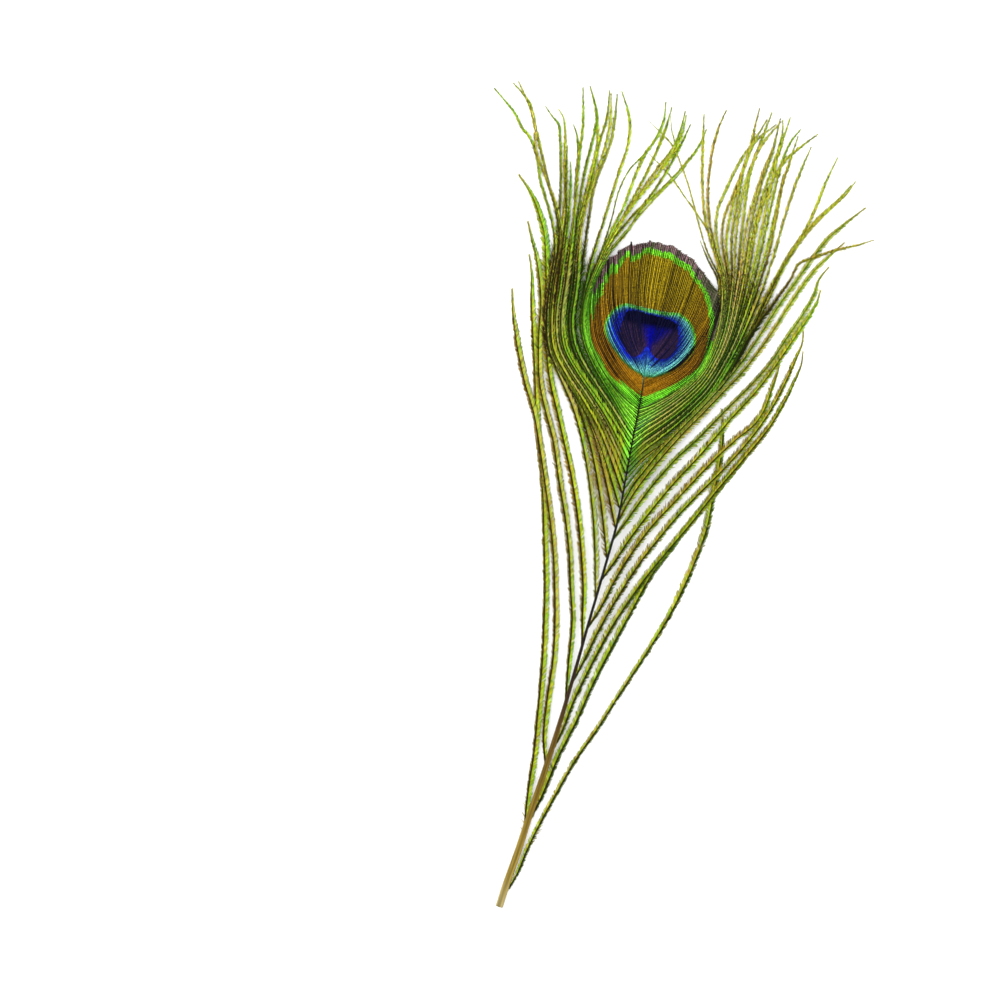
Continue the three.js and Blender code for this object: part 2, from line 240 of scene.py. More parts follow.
# %% Plumes: from beside the eye up to the tip
PLUMES_LEFT = [
    [(-34.2, 177), (-35.2, 186), (-38, 193.5), (-42.5, 201.3), (-45, 205.5), (-48, 212.3),
     (-52, 217.7), (-54, 219), (-58, 223.3), (-65.3, 228.5)],
    [(-33.6, 177), (-35, 190), (-38, 197.5), (-42, 204.5), (-46, 212), (-50.3, 220), (-54, 227),
     (-56, 228.7), (-60.2, 231.5)],
    [(-33, 177), (-33.8, 189), (-38, 198.5), (-43.5, 206.5), (-48.7, 214), (-50.5, 220),
     (-53.5, 225.5), (-58.9, 232.4)],
    [(-34.6, 179), (-35.8, 190), (-37.3, 199), (-39, 206.5), (-41, 214), (-42.5, 219), (-44, 223),
     (-46.5, 225), (-49.1, 227.2)],
    [(-33.2, 179), (-35.5, 196), (-37, 204), (-39.3, 212), (-41, 219.5), (-42.3, 223.5),
     (-43.2, 225.5), (-45.1, 227.4)],
    [(-32.3, 179), (-35, 198), (-37.4, 207), (-39, 213.5), (-39.8, 217.5)],
    [(-31.5, 179), (-34, 197), (-35.6, 205), (-36.8, 210), (-37.7, 213)],
    [(-30.7, 179), (-32.3, 196), (-34.6, 208), (-36.4, 217.5), (-38, 221.5), (-39.7, 224.2)],
    [(-29.9, 179), (-31.8, 194), (-34.3, 208), (-35.8, 216.5), (-36.8, 224), (-38.7, 231.5),
     (-39.8, 235.5)],
    [(-28.4, 179), (-31.3, 197), (-32.7, 209), (-33, 220), (-33.5, 228), (-36, 233.5), (-37.8, 236.5)],
    [(-29.2, 179), (-30.6, 195), (-31, 212), (-31.4, 221), (-33, 226.5), (-35.2, 232), (-37.6, 236)],
    [(-27.5, 179), (-29.9, 195), (-30.2, 210), (-30.8, 221), (-30.6, 229), (-31.9, 236.8)],
    [(-26.5, 178), (-29.5, 195), (-29.5, 210), (-28.8, 220), (-29.5, 229), (-31.2, 236)],
    [(-25.5, 178), (-27.9, 197), (-28.9, 208), (-27.6, 222), (-28.2, 229), (-29.4, 236.2)],
    [(-23.6, 176), (-24, 187), (-23.5, 200), (-22.9, 214), (-22.4, 221), (-23, 227), (-24.8, 232),
     (-28.2, 237.4)],
    [(-23.2, 176), (-21.8, 189), (-21.4, 200), (-21.5, 208), (-20, 215.5), (-17, 221), (-14.9, 226),
     (-14.1, 232)],
    [(-22.9, 177), (-21, 193), (-18.8, 205), (-17.7, 216), (-16.4, 222), (-14.4, 228), (-14, 233),
     (-14.7, 237.7)],
    [(-22.9, 178), (-21.5, 188), (-17.8, 203), (-15.2, 214), (-13.6, 223), (-12.8, 229.5),
     (-12.6, 236.7)],
    [(-22.7, 178), (-20.8, 190.5), (-16.8, 205), (-12.6, 216), (-9, 226), (-11, 230.5), (-12.2, 234)],
    [(-22.6, 177), (-21.2, 189), (-17.5, 203), (-12.4, 217), (-9, 225.5), (-8.3, 231), (-8.4, 236.6)],
    [(-22.4, 177), (-20.9, 190), (-17, 203.5), (-11.6, 216), (-8.3, 225), (-7.5, 231), (-7.8, 235.5)],
    [(-22.3, 177), (-20.6, 190), (-16.2, 201), (-12.5, 208), (-10.2, 214.5), (-8, 222.5), (-6.6, 229),
     (-5.9, 233.2)],
    [(-22.1, 177), (-19.9, 189.3), (-15.5, 199), (-12, 206), (-9, 211.7), (-5.5, 217.6), (-3.9, 221)],
    [(-22, 177), (-19.5, 189.6), (-16, 197), (-13, 206), (-9, 212.5), (-5, 220), (-2.5, 225.5),
     (-1.4, 229.5), (-0.9, 233)],
]
PLUMES_RIGHT = [
    [(27.8, 176), (30.5, 190), (32, 198), (34.3, 206), (37, 212.5), (41, 219.5), (44.5, 225),
     (46.3, 229.5)],
    [(27.3, 176), (29.8, 190), (32, 199.5), (34.8, 208.5), (38, 215.5), (42.5, 222.5), (45.3, 228)],
    [(26.8, 176), (29.4, 190), (32.6, 203), (35.3, 211), (36.9, 219), (37.8, 227), (39.3, 235)],
    [(28, 177), (32.4, 189), (35, 196), (36.3, 201.3), (39, 203.6), (42, 205.6), (46, 208.2),
     (52, 211.4), (56, 214)],
    [(25.6, 176), (27.6, 191), (28.4, 203), (28.6, 214), (29.3, 225), (30.2, 232), (30.8, 235.9)],
    [(25, 176), (26.3, 191), (26.8, 202), (26.2, 213), (25.5, 222), (25.8, 231), (26.2, 238)],
    [(24.4, 176), (25.5, 192), (25.8, 205), (25.4, 218), (24.9, 226)],
    [(23.8, 176), (24.6, 192), (24, 210), (23.6, 222), (23.6, 230), (24.5, 236), (26.4, 240.4)],
    [(23.2, 176), (23.6, 192), (22.9, 208), (22.4, 220), (21.9, 230), (22.5, 243)],
    [(22.7, 176), (22.6, 192), (21.3, 208), (21.6, 219), (22.6, 225), (24.3, 230), (27.5, 235),
     (31.6, 240.2)],
    [(22.2, 176), (21.9, 191), (20.6, 206), (20.6, 219), (21.5, 231), (21.4, 238), (20.6, 241.6)],
    [(21.7, 176), (21.1, 192), (19.6, 207), (19.2, 220), (20, 232), (19.9, 237), (19.7, 241.9)],
    [(21.2, 176), (20.3, 192), (18.3, 208), (18.4, 219), (19.2, 228), (20, 234.5)],
    [(20.7, 176), (19.5, 192), (17.6, 204), (16.3, 213), (15.2, 223), (15.8, 233), (16.8, 243)],
    [(20.2, 176), (18.8, 191), (16.2, 203), (14.8, 214), (14.8, 224.5), (16.4, 233), (20, 241)],
    [(19.8, 176), (18.2, 191), (15, 203), (13.7, 215), (13, 226), (13.9, 233.5), (15.9, 240.5)],
    [(19.4, 176), (17.7, 190.5), (13.6, 202), (12.6, 215), (13.1, 227), (14.6, 236)],
    [(19, 176), (17.3, 190), (12.3, 202), (11.1, 208.5), (12, 217), (13.3, 229), (13, 238), (12.9, 243.2)],
    [(18.7, 176.5), (16.8, 190), (11, 201), (8.7, 209.5), (9.6, 218), (11.8, 228), (14.6, 234),
     (18.8, 239.8)],
    [(18.4, 177), (16.2, 190), (10.5, 200), (6.4, 208.5), (3.9, 217.5), (2.5, 228), (2.6, 235),
     (3.4, 240.2)],
    [(18.2, 177), (15.6, 190), (9.6, 200), (5.5, 207.5), (1.9, 218), (-0.6, 228), (-2.7, 237.2)],
    [(18, 178), (15, 189.8), (8.6, 198), (3.4, 206.5), (-1, 214.3), (-5, 220.3), (-9.5, 225.8),
     (-17.8, 231)],
    [(17.9, 178), (14.6, 190), (9.4, 201.5), (4, 207), (-1.5, 211.6), (-8, 217), (-15.3, 221.5)],
    [(17.8, 178), (14.3, 190), (10.4, 194.6), (8.3, 197.2), (6, 200.3)],
]
print("left:", len(LOOSE_LEFT), "loose barbs and", len(PLUMES_LEFT), "plumes")
print("right:", len(LOOSE_RIGHT), "loose barbs and", len(PLUMES_RIGHT), "plumes")

# %% [markdown]
# ## Guides for the dense vane
# Between the shaft and the plumes the barbs lie side by side, so we don't set each by
# hand. Two guides, one at the outer edge and one beside the eye, hold the bundle, and
# every barb takes its place between them. The eye has a fan of guides of its own.

# %% Guide routes, and where on the shaft the barbs of the bundle start
FLANK_LEFT = [
    [(3, 88.5), (-2.9, 110), (-11, 129.5), (-17.8, 141.5), (-24.5, 150), (-29.7, 157), (-32.6, 165.5)],
    [(1.2, 146.5), (-2.6, 148.2), (-6.6, 150.6), (-10.6, 153.6), (-14.3, 157.2), (-17.8, 161.6),
     (-20.6, 167)],
]
FLANK_RIGHT = [
    [(3.3, 119), (6.5, 127.5), (10.2, 134), (14, 140.5), (18.5, 148.5), (22, 155.5), (25.2, 165)],
    [(1.2, 146.5), (3.8, 148.4), (6.8, 150.8), (10, 153.9), (13, 157.5), (15.6, 161.8), (17.2, 167)],
]
# Each pair is a barb's number, counted from the outer edge, and its place on the shaft.
ROOTS_LEFT = [(0, 88.5), (1, 101), (2, 110.5), (3, 116.5), (4, 121), (6, 127), (9, 133.2),
              (14, 139.8), (23, 146.8)]
ROOTS_RIGHT = [(0, 119.3), (1, 122.3), (2, 125), (4, 129), (8, 134.6), (14, 140.8), (23, 146.8)]
EYE_FAN = [
    [(1.1, 147), (-6.5, 151.8), (-12.9, 156.6), (-18.2, 162.8), (-20.8, 170), (-22.2, 177), (-23.2, 183)],
    [(0.9, 151.5), (-5, 155), (-10.8, 160), (-15.2, 165.5), (-17.7, 171.5), (-19.4, 178.5), (-20.8, 186)],
    [(0.6, 155.5), (-3.5, 160), (-9.1, 165.2), (-12, 168.9), (-14.6, 173.4), (-16.9, 179.5), (-19.2, 187.8)],
    [(0.3, 158.5), (-3, 163.1), (-5.7, 167.2), (-7.9, 171.9), (-9.9, 176.8), (-11.6, 183), (-13.6, 193.4)],
    [(-0.2, 162), (-2.3, 166.5), (-3.8, 171), (-5, 175.5), (-6.1, 181), (-7, 187), (-8, 196.1)],
    [(-0.6, 165), (-0.9, 169), (-1.1, 173), (-1.3, 178), (-1.5, 183), (-1.7, 189), (-1.9, 196.5)],
    [(-0.1, 162), (1.5, 166.5), (2.7, 170.7), (3.6, 175.5), (4.2, 181), (4.5, 187), (4.6, 194.4)],
    [(0.4, 158), (4, 163.9), (6, 167.9), (7.8, 172.3), (9.1, 177.5), (9.9, 183), (10.4, 190.2)],
    [(0.7, 154.5), (4.5, 157.8), (8.3, 161.2), (11, 165.3), (13.1, 170.8), (14.8, 176.6), (15.8, 186)],
    [(1.1, 147.5), (5.5, 151.2), (10.8, 156.2), (14.8, 161.5), (16.6, 167.5), (17, 175), (17.2, 184)],
]

# %% [markdown]
# ## The zones of the eye
# The colours of the eye lie in closed rings that run straight across the barbs. We draw
# the edge of the dark pupil, of the blue disc and of the bronze disc as smooth closed
# curves, and measure how far each barbule is from them.

# %% Ring outlines and distances
POINTS_AT_ONCE = 20000   # keeps the distance tables small in memory
PUPIL_EDGE = [
    (-9.4, 174.6), (-10.5, 171), (-10.3, 168), (-8.9, 165), (-7, 162.6), (-4.6, 161.4), (-2.7, 162.6),
    (-1.3, 165.6), (0.7, 163.7), (2.6, 162.8), (4.8, 163.2), (6.5, 165), (7.4, 168), (7, 171.3),
    (5.2, 174.6), (1.5, 175.2), (-3, 175.2),
]
BLUE_EDGE = [
    (-10.6, 175.9), (-13.2, 174), (-14.8, 170), (-14.3, 166.8), (-12, 163.8), (-9, 161.3), (-5.5, 159),
    (-2, 157.6), (1.3, 157), (4.7, 158.4), (8.3, 161.4), (11, 165.2), (12.2, 169.4), (11.2, 173),
    (9, 175.6), (5.8, 177.1), (1.5, 176.3), (-3, 175.9), (-7, 175.9),
]
BRONZE_EDGE = [
    (0.9, 150.9), (-4.3, 152.7), (-9.3, 154.6), (-13.2, 158.6), (-16.4, 161.9), (-18.4, 165.3),
    (-19.5, 170.3), (-19.3, 175.5), (-18, 180.5), (-15.9, 185.3), (-13, 189.6), (-7.4, 192.6),
    (-1.5, 192.5), (4, 190.7), (9.3, 187.3), (12.5, 182.5), (14.9, 177.7), (15.6, 172), (15.9, 167.3),
    (15.2, 163.7), (12.3, 159.9), (8.6, 156.3), (4.8, 153.4),
]
for zone, outline in (("pupil", PUPIL_EDGE), ("blue", BLUE_EDGE), ("bronze", BRONZE_EDGE)):
    print(zone, "zone:", np.round(np.ptp(outline, axis=0), 1), "mm")


def distance_outside(points, outline):
    """Distance from each point to a closed outline, below zero inside it."""
    ring = smooth_route(outline, 1.0, closed=True)
    a = ring[:-1]
    b = ring[1:]
    edge = b - a
    result = np.empty(len(points))
    for first in range(0, len(points), POINTS_AT_ONCE):
        p = points[first:first + POINTS_AT_ONCE, None, :]
        t = np.clip(((p - a) * edge).sum(2) / (edge ** 2).sum(1), 0, 1)
        gap = np.sqrt(((a + t[..., None] * edge - p) ** 2).sum(2).min(1))
        spans = (a[:, 1] > p[..., 1]) != (b[:, 1] > p[..., 1])
        rise = np.where(edge[:, 1] == 0, 1e-9, edge[:, 1])
        cross_x = a[:, 0] + (p[..., 1] - a[:, 1]) * edge[:, 0] / rise
        inside = ((spans & (p[..., 0] < cross_x)).sum(1) % 2) == 1
        result[first:first + POINTS_AT_ONCE] = np.where(inside, -gap, gap)
    return result


# %% [markdown]
# ## One barb, many barbules
# A barbule is a thin blade that leaves the ramus at 30 to 50 degrees, towards the tip of
# the barb. It could be a hair, but an exported model keeps no hairs, so each is a closed
# sliver with a blunt tip. Barbules stick together in tufts, so the edge of a barb looks
# like a fine saw. The inner row, on the side of the shaft, is glossy and coloured. The
# outer row lies lower and is darker.

# %% The size of a barbule, in millimetres
BARBULE_PITCH = 0.22     # real barbules are about 0.05 mm apart, too fine to show
BLADE_WIDTH = 0.42
BLADE_DEPTH = 0.07
TIP_SHARE = 0.45         # width of the blunt tip beside the width of the root
TABLE_GAP = 0.01         # no blade comes closer to the table
ROW_LIFT = {"inner": 0.03, "outer": -0.05}
ROW_FRAY = {"inner": 0.7, "outer": 1}                  # how uneven the tufts' lengths are
TUFT_PULL = {"loose": 0.2, "plume": 0.3, "eye": 0.3}   # how far a tuft's tips draw together
STRAYS = 0.008           # share of the barbules that have left their tuft
STRAY_LENGTH = 1.4       # beside the length of the others
HAIR_LENGTH = (1.3, 2.3)
DOWN_STRETCH = 5         # length of barb over which the downy hairs thin out
REACH_OF_CORNER = np.array([[0.0, 0.0, 0.1, 1.0, 1.0]])
BLADE_FACES = np.array([[0, 1, 4], [0, 4, 3], [4, 1, 2], [3, 4, 2], [0, 3, 2], [1, 0, 2]])


# %% Barb helpers
def make_barb(route, height, reach_inner, reach_outer, side, **facts):
    """Equal steps along a barb, with its direction, height and reach at each step."""
    plan = smooth_route(route, BARBULE_PITCH)
    along = np.gradient(plan, axis=0)
    along /= np.linalg.norm(along, axis=1)[:, None]
    share = np.linspace(0, 1, len(plan))
    barb = {"down": 0.0, "down_place": 0.0} | facts
    barb |= {"plan": plan, "along": along, "share": share, "side": side}
    barb["length"] = BARBULE_PITCH * (len(plan) - 1)
    barb["z"] = height(share, plan)
    barb["inner"] = reach_inner(share, plan)
    barb["outer"] = reach_outer(share, plan)
    return barb


def tufts(count, own, shortest, longest):
    """Which tuft each barbule belongs to, and how far its root is from the tuft's middle."""
    s = np.arange(count) * BARBULE_PITCH
    ends = np.cumsum(own.uniform(shortest, longest, int(s[-1] / shortest) + 2))
    which = np.searchsorted(ends, s)
    starts = np.concatenate([[0], ends[:-1]])
    return which, 0.5 * (starts + ends)[which] - s


def barbule_row(barb, row, seed):
    """Five corners for each barbule of one row: two at the ramus, one below, two at the tip."""
    own = np.random.default_rng(seed)
    n = len(barb["plan"])
    along = barb["along"]
    # The inner row points to the shaft, on both sides of the feather.
    hand = -barb["side"] if row == "inner" else barb["side"]
    across = np.column_stack([-along[:, 1], along[:, 0]]) * hand
    which, to_middle = tufts(n, own, *barb["tuft"])
    # On the left the inner rows of the loose barbs have a nearly straight edge.
    straight = row == "inner" and barb["kind"] == "loose" and barb["side"] > 0
    tone = own.normal(0, 0.3 if straight else 1, which.max() + 1)[which]
    fray = barb["fray"] * (0.4 if straight else ROW_FRAY[row])
    size = np.clip(1 + fray * own.normal(0, 1, which.max() + 1), 0.5, 1.6)[which]
    reach = barb[row] * size * own.normal(1, 0.08, n)
    stray = own.random(n) < STRAYS
    # Low on the outer side of the first barbs a few downy hairs stand off.
    from_down = (barb["plan"][:, 1] - barb["down_place"]) / DOWN_STRETCH
    hair = (own.random(n) < barb["down"] * np.exp(-from_down ** 2)) & (row == "outer")
    reach = np.where(stray, reach * STRAY_LENGTH, np.where(hair, own.uniform(*HAIR_LENGTH, n), reach))
    reach = np.clip(reach, 0.05, None)
    loner = stray | hair
    angle = np.radians(barb["spread"] + own.normal(0, 4, n))
    lean = np.cos(angle)[:, None] * along + np.sin(angle)[:, None] * across
    pull = 0.1 if straight else TUFT_PULL[barb["kind"]]
    gather = np.where(loner, 0.0, pull * to_middle)
    tip = barb["plan"] + lean * (reach / np.sin(angle))[:, None] + along * gather[:, None]
    blade = 0.5 * BLADE_WIDTH * along
    blunt = np.where(loner, 0.1, 0.7 if straight else TIP_SHARE)[:, None] * blade
    base_z = barb["z"] + ROW_LIFT[row]
    rise = barb["tilt"] * reach * (1 if row == "inner" else -1) + 0.03 * own.normal(0, 1, n)
    corners = np.empty((n, 5, 3))
    corners[:, 0, :2] = barb["plan"] - blade
    corners[:, 1, :2] = barb["plan"] + blade
    corners[:, 2, :2] = barb["plan"] + 0.06 * across
    corners[:, 3, :2] = tip - blunt
    corners[:, 4, :2] = tip + blunt
    corners[:, :2, 2] = base_z[:, None]
    corners[:, 2, 2] = np.clip(base_z - BLADE_DEPTH, TABLE_GAP, None)
    corners[:, 3:, 2] = np.clip(base_z + rise, 3 * TABLE_GAP, None)[:, None]
    return corners, BLADE_FACES if hand > 0 else BLADE_FACES[:, ::-1], tone


# %% [markdown]
# ## From barbs to pieces
# An object for every barbule would choke Blender, and so would one for every barb. We
# build a whole group of barbs as one object instead. Each barb gets a strip of the UV
# map of its own, so that the colours can also be baked into a picture.

# %% Build the barbules and the rods of a group of barbs
STRIP_SHARE = {"inner": 0.42, "outer": -0.42}   # the two rows take most of a barb's strip
STRIP_OF_CORNER = np.array([0.1, 0.1, 0.05, 1.0, 1.0])
RAMUS_SIDES = 5
RAMUS_STEP = 6           # barbules from one ring of corners to the next
LINE_WIDTH = (0.06, 0.34)   # thinnest and widest dark line between the barbs of the bundle
LINES_END = (172, 195)
VANE_ROOTS = (118, 150)


def build_barbules(name, barbs, tint):
    """All barbules of a group of barbs as one piece. Tint gives the values that colour them."""
    corners, faces, values, uvs = [], [], {}, []
    count = 0
    for number, barb in enumerate(barbs):
        for row in ("inner", "outer"):
            seed = barb["seed"] * 10 + (1 if row == "inner" else 5)
            blades, pattern, tone = barbule_row(barb, row, seed)
            n = len(blades)
            first = count + 5 * np.arange(n)
            faces.append((first[:, None, None] + pattern[None, :, :]).reshape(-1, 3))
            corners.append(blades.reshape(-1, 3))
            tints = tint(barb, row, blades, tone, seed) | {"reach": REACH_OF_CORNER}
            for key, data in tints.items():
                data = np.clip(data if data.ndim > 1 else data[:, None], 0, 1)
                values.setdefault(key, []).append(np.broadcast_to(data, (n, 5)).reshape(-1))
            u = np.repeat(barb["share"], 5).reshape(n, 5)
            v = (number + 0.5 + STRIP_SHARE[row] * STRIP_OF_CORNER) / len(barbs)
            uvs.append(np.stack([u, np.broadcast_to(v, (n, 5))], axis=2).reshape(-1, 2))
            count += 5 * n
    values = {key: np.concatenate(data) for key, data in values.items()}
    piece = add_mesh(name, np.vstack(corners), [np.vstack(faces)], values, np.vstack(uvs), smooth=False)
    print(name, "has", sum(len(f) for f in faces), "faces")
    return piece


def shape_ramus(barb, root_width, tip_width):
    """The barbules where the rod of a barb gets a ring of corners, and its route and widths there."""
    keep = np.unique(np.append(np.arange(0, len(barb["plan"]), RAMUS_STEP), len(barb["plan"]) - 1))
    route = np.column_stack([barb["plan"], barb["z"]])[keep]
    share = barb["share"][keep]
    widths = (root_width + (tip_width - root_width) * share) * barb["stout"]
    from_root = share * barb["length"]
    if barb["kind"] == "eye":
        low, high, wide = barb["opening"]
        # In the listed splits the rod widens into a black line, as painted shade in the split.
        opened = smoothstep(from_root, low - 1, low) * (1 - smoothstep(from_root, high - 3, high))
        # Near the shaft the rods show below the eye, not in it.
        clear = np.maximum(smoothstep(share, 0.05, 0.4), 1 - smoothstep(route[:, 1], 149, 153))
        widths = np.maximum(widths * (0.35 + 0.65 * clear), wide * opened)
        route[:, 2] += 0.1 * opened
    if barb["kind"] == "plume":
        # Dark lines part the barbs of the bundle, thinner where these lie closer. The rods are widened, so
        # each line is partly the dark ramus and partly painted shade between the barbs.
        beside = 1 - smoothstep(route[:, 1], *LINES_END)
        wider = 0.12 * (1 - smoothstep(route[:, 1], 150, 168)) * (barb["side"] < 0)
        line = np.clip((LINE_WIDTH[1] + wider) * barb["inner"][keep], *LINE_WIDTH)
        widths = widths * (1 - beside) + line * beside
    # In the vane each ramus starts with a dark foot on the shaft.
    foot = (1 - smoothstep(from_root, 0.5, 1.4)) * (VANE_ROOTS[0] < route[0, 1] < VANE_ROOTS[1])
    widths = np.maximum(widths, LINE_WIDTH[1] * foot)
    route[:, 2] = np.maximum(route[:, 2], 0.5 * widths) + 0.3 * foot
    return keep, route, widths


def build_rami(name, barbs, root_width, tip_width):
    """The thin rods of a group of barbs as one piece."""
    corners, walls, caps, tones, uvs = [], [], [], [], []
    count = 0
    for number, barb in enumerate(barbs):
        keep, route, widths = shape_ramus(barb, root_width, tip_width)
        points, wall, start, end = tube(route, widths, widths, RAMUS_SIDES)
        corners.append(points)
        walls.append(wall + count)
        caps += [start + count, end + count]
        tones.append(np.repeat(ramus_tone(barb)[keep], RAMUS_SIDES))
        u = np.repeat(barb["share"][keep], RAMUS_SIDES)
        v = (number + (np.arange(RAMUS_SIDES) + 0.5) / RAMUS_SIDES) / len(barbs)
        uvs.append(np.column_stack([u, np.tile(v, len(route))]))
        count += len(points)
    faces = [np.vstack(walls), np.vstack(caps)]
    values = {"tone": np.concatenate(tones)}
    print(name, "has", len(faces[0]) + len(faces[1]), "faces")
    return add_mesh(name, np.vstack(corners), faces, values, np.vstack(uvs))


# %% [markdown]
# ## Loose barbs
# Every barb starts at the height of the shaft and sinks until its tip lies on the table.
# A loose barb is about 2 mm wide over its barbules. It is narrow at the root, and its
# last centimetres thin out to the bare ramus.

# %% How a loose barb lies and how far its barbules reach
LYING_HEIGHT = 0.45
TIP_DROP = 0.25
LOOSE_WIDENS = (70, 125)
PASSES_EYE = (142, 158)


def lying_height(root_place):
    """Height of a barb that sinks from the shaft until its tip lies on the table."""
    start = shaft_height(root_place) - LYING_HEIGHT

    def height(share, plan):
        return LYING_HEIGHT - TIP_DROP * smoothstep(share, 0.75, 1) + start * (1 - share) ** 1.5

    return height


def reach_along(low, high, beside_eye=1.0):
    """Reach that goes from low to high up the feather and thins to the barb's tip."""
    def reach(share, plan):
        full = low + (high - low) * smoothstep(plan[:, 1], *LOOSE_WIDENS)
        full = full * (1 - (1 - beside_eye) * smoothstep(plan[:, 1], *PASSES_EYE))
        widen = 0.5 + 0.5 * smoothstep(share, 0.0, 0.1)
        thin = 1 - 0.7 * smoothstep(share, 0.86, 1.0)
        return full * widen * thin

    return reach


def loose_reach(hand, number, full):
    """Reach of the inner and of the outer row of a loose barb."""
    if hand > 0:
        inner = reach_along(1.3 if number < 2 else 1.05, 1.3)
        return inner, reach_along(0.65 + 0.2 * full, 0.75 + 0.5 * full)
    if number == 0:
        return reach_along(0.9, 1.5), reach_along(0.7, 1.0)
    inner = reach_along(1.2, 1.0 + 0.4 * full if number < 6 else 0.9, 0.78)
    return inner, reach_along(0.85, 0.85 + 0.35 * float(smoothstep(number, 3, 6)), 0.82)


# %% Set out the loose barbs
barb_seed = 100
loose_barbs = []
for hand, group in ((1, LOOSE_LEFT), (-1, LOOSE_RIGHT)):
    for number, (place, points) in enumerate(group):
        barb_seed += 1
        root = (float(shaft_x(place)), place)
        # The lowest barbs are narrow and dark on their outer side, the upper ones are full.
        full = min(1.0, number / 4)
        loose_barbs.append(make_barb(
            [root] + points, lying_height(place), *loose_reach(hand, number, full), hand,
            kind="loose", number=number, seed=barb_seed, spread=42, tilt=0.06, stout=1.0,
            fray=0.13, tuft=(0.35, 0.9), dusk=0.8 - 0.7 * full,
            down=0.16 if number == 0 else 0.0, down_place=20 if hand > 0 else 16,
        ))
print(len(loose_barbs), "loose barbs")

# %% [markdown]
# ## The bundle beside the eye
# The barbs of the dense vane leave the shaft close together, pass the eye side by side
# and then spread as plumes. Some of them end up above others. In the vane we let each row
# reach for its neighbour, because a fixed reach would leave gaps where the barbs spread.


# %% How the bundle lies and how far its barbules reach
BUNDLE_HEIGHT = EYE_HEIGHT + 0.1
PLUME_TIP_HEIGHT = 0.35
BUNDLE_SHUFFLES = (158, 185)
PLUMES_LIE_DOWN = (183, 228)
PLUMES_PART = (178, 196)


def bundle_height(root_place, layer):
    """Height of a barb that leaves the shaft, passes the eye and lies down on the table."""
    start = shaft_height(root_place)

    def height(share, plan):
        leave = smoothstep(share, 0.0, 0.25)
        shuffle = layer * smoothstep(plan[:, 1], *BUNDLE_SHUFFLES)
        lie = smoothstep(plan[:, 1], *PLUMES_LIE_DOWN)
        z = start * (1 - leave) + BUNDLE_HEIGHT * leave + shuffle
        return z * (1 - lie) + (PLUME_TIP_HEIGHT + 0.25 * abs(layer)) * lie

    return height


def plume_reach(above):
    """Reach of the free plume above the vane. Inside the vane the spacing decides it."""
    def reach(share, plan):
        return above * (1 - 0.6 * smoothstep(share, 0.9, 1.0))

    return reach


def gap_to(barb, other):
    """Distance from each step of a barb to the nearest step of another barb."""
    gap = np.full(len(barb["plan"]), 9.0)
    for part in np.array_split(other["plan"], 40):
        offset = barb["plan"][:, None, :] - part[None, :, :]
        gap = np.minimum(gap, np.hypot(offset[..., 0], offset[..., 1]).min(1))
    return gap


def fill_to_neighbours(barbs):
    """Inside the vane each row reaches as far as the next barb, so that no gap shows."""
    for number, barb in enumerate(barbs):
        beside = 1 - smoothstep(barb["plan"][:, 1], *PLUMES_PART)
        # On the right the first barbs start narrow, and the table shows between them.
        apart = 0.35 * (number < 3) * (barb["side"] < 0)
        start = 0.75 - apart + (0.25 + apart) * smoothstep(barb["share"], 0.0, 0.05 + 0.5 * apart)
        # The outermost barbs of the left side still have full, saw-toothed rows.
        most = 1.05 + 0.2 * (1 - smoothstep(number, 3, 9)) * (barb["side"] > 0)
        for row, other, overlap in (("inner", number + 1, 0.88), ("outer", number - 1, 0.75)):
            gap = gap_to(barb, barbs[other]) if 0 <= other < len(barbs) else 0.9
            wide = np.clip(overlap * gap, 0.3, most)
            barb[row] = start * (wide * beside + barb[row] * (1 - beside))


def between(guides, roots, number, belt_share):
    """Route points of one barb of the bundle, from its root to the end of the guides."""
    outer, inner = (np.array(g) for g in guides)
    place = float(np.interp(number, *zip(*roots)))
    low, high = roots[0][1], roots[-1][1]
    at_root = (place - low) / (high - low)
    blend = smoothstep(np.linspace(0, 1, len(outer)), 0.0, 0.9)
    weight = at_root * (1 - blend) + belt_share * blend
    points = outer * (1 - weight[:, None]) + inner * weight[:, None]
    points[0] = (shaft_x(place), place)
    return place, [tuple(p) for p in points]


# %% Set out the plumes
PLUME_REACH = 0.5
SLENDER_REACH = 0.28
SLENDER_LEFT = (15, 18, 22)
SLENDER_RIGHT = (21, 22, 23)
plume_barbs = []
for hand, guides, roots, plumes, slender in (
    (1, FLANK_LEFT, ROOTS_LEFT, PLUMES_LEFT, SLENDER_LEFT),
    (-1, FLANK_RIGHT, ROOTS_RIGHT, PLUMES_RIGHT, SLENDER_RIGHT),
):
    belt = [plume[0][0] for plume in plumes]
    edge, middle = (min(belt), max(belt)) if hand > 0 else (max(belt), min(belt))
    for number, plume in enumerate(plumes):
        barb_seed += 1
        belt_share = (plume[0][0] - edge) / (middle - edge)
        place, points = between(guides, roots, number, belt_share)
        layer = float(rng.uniform(-0.4, 0.6))
        reach = plume_reach(SLENDER_REACH if number in slender else PLUME_REACH)
        plume_barbs.append(make_barb(
            points + plume, bundle_height(place, layer), reach, reach, hand,
            kind="plume", number=number, seed=barb_seed, spread=31, tilt=0.06, stout=0.8,
            fray=0.22, tuft=(0.35, 0.6),
        ))
    fill_to_neighbours(plume_barbs[-len(plumes):])
print(len(plume_barbs), "plume barbs")

# %% [markdown]
# ## The barbs of the eye
# In the eye the barbs end early, side by side, in the fringe. Each could have a route of
# its own, but a fan of guides is easier to shape. Neighbouring guides have the same
# number of points, so a barb between two of them is their mean. We put as many in as the
# widest gap needs.

# %% Where the vane has split, and how the eye's barbs lie
EYE_BARB_SPACING = 0.62
MIDDLE_GUIDE = 5
BARBS_IN_TUFT = 3
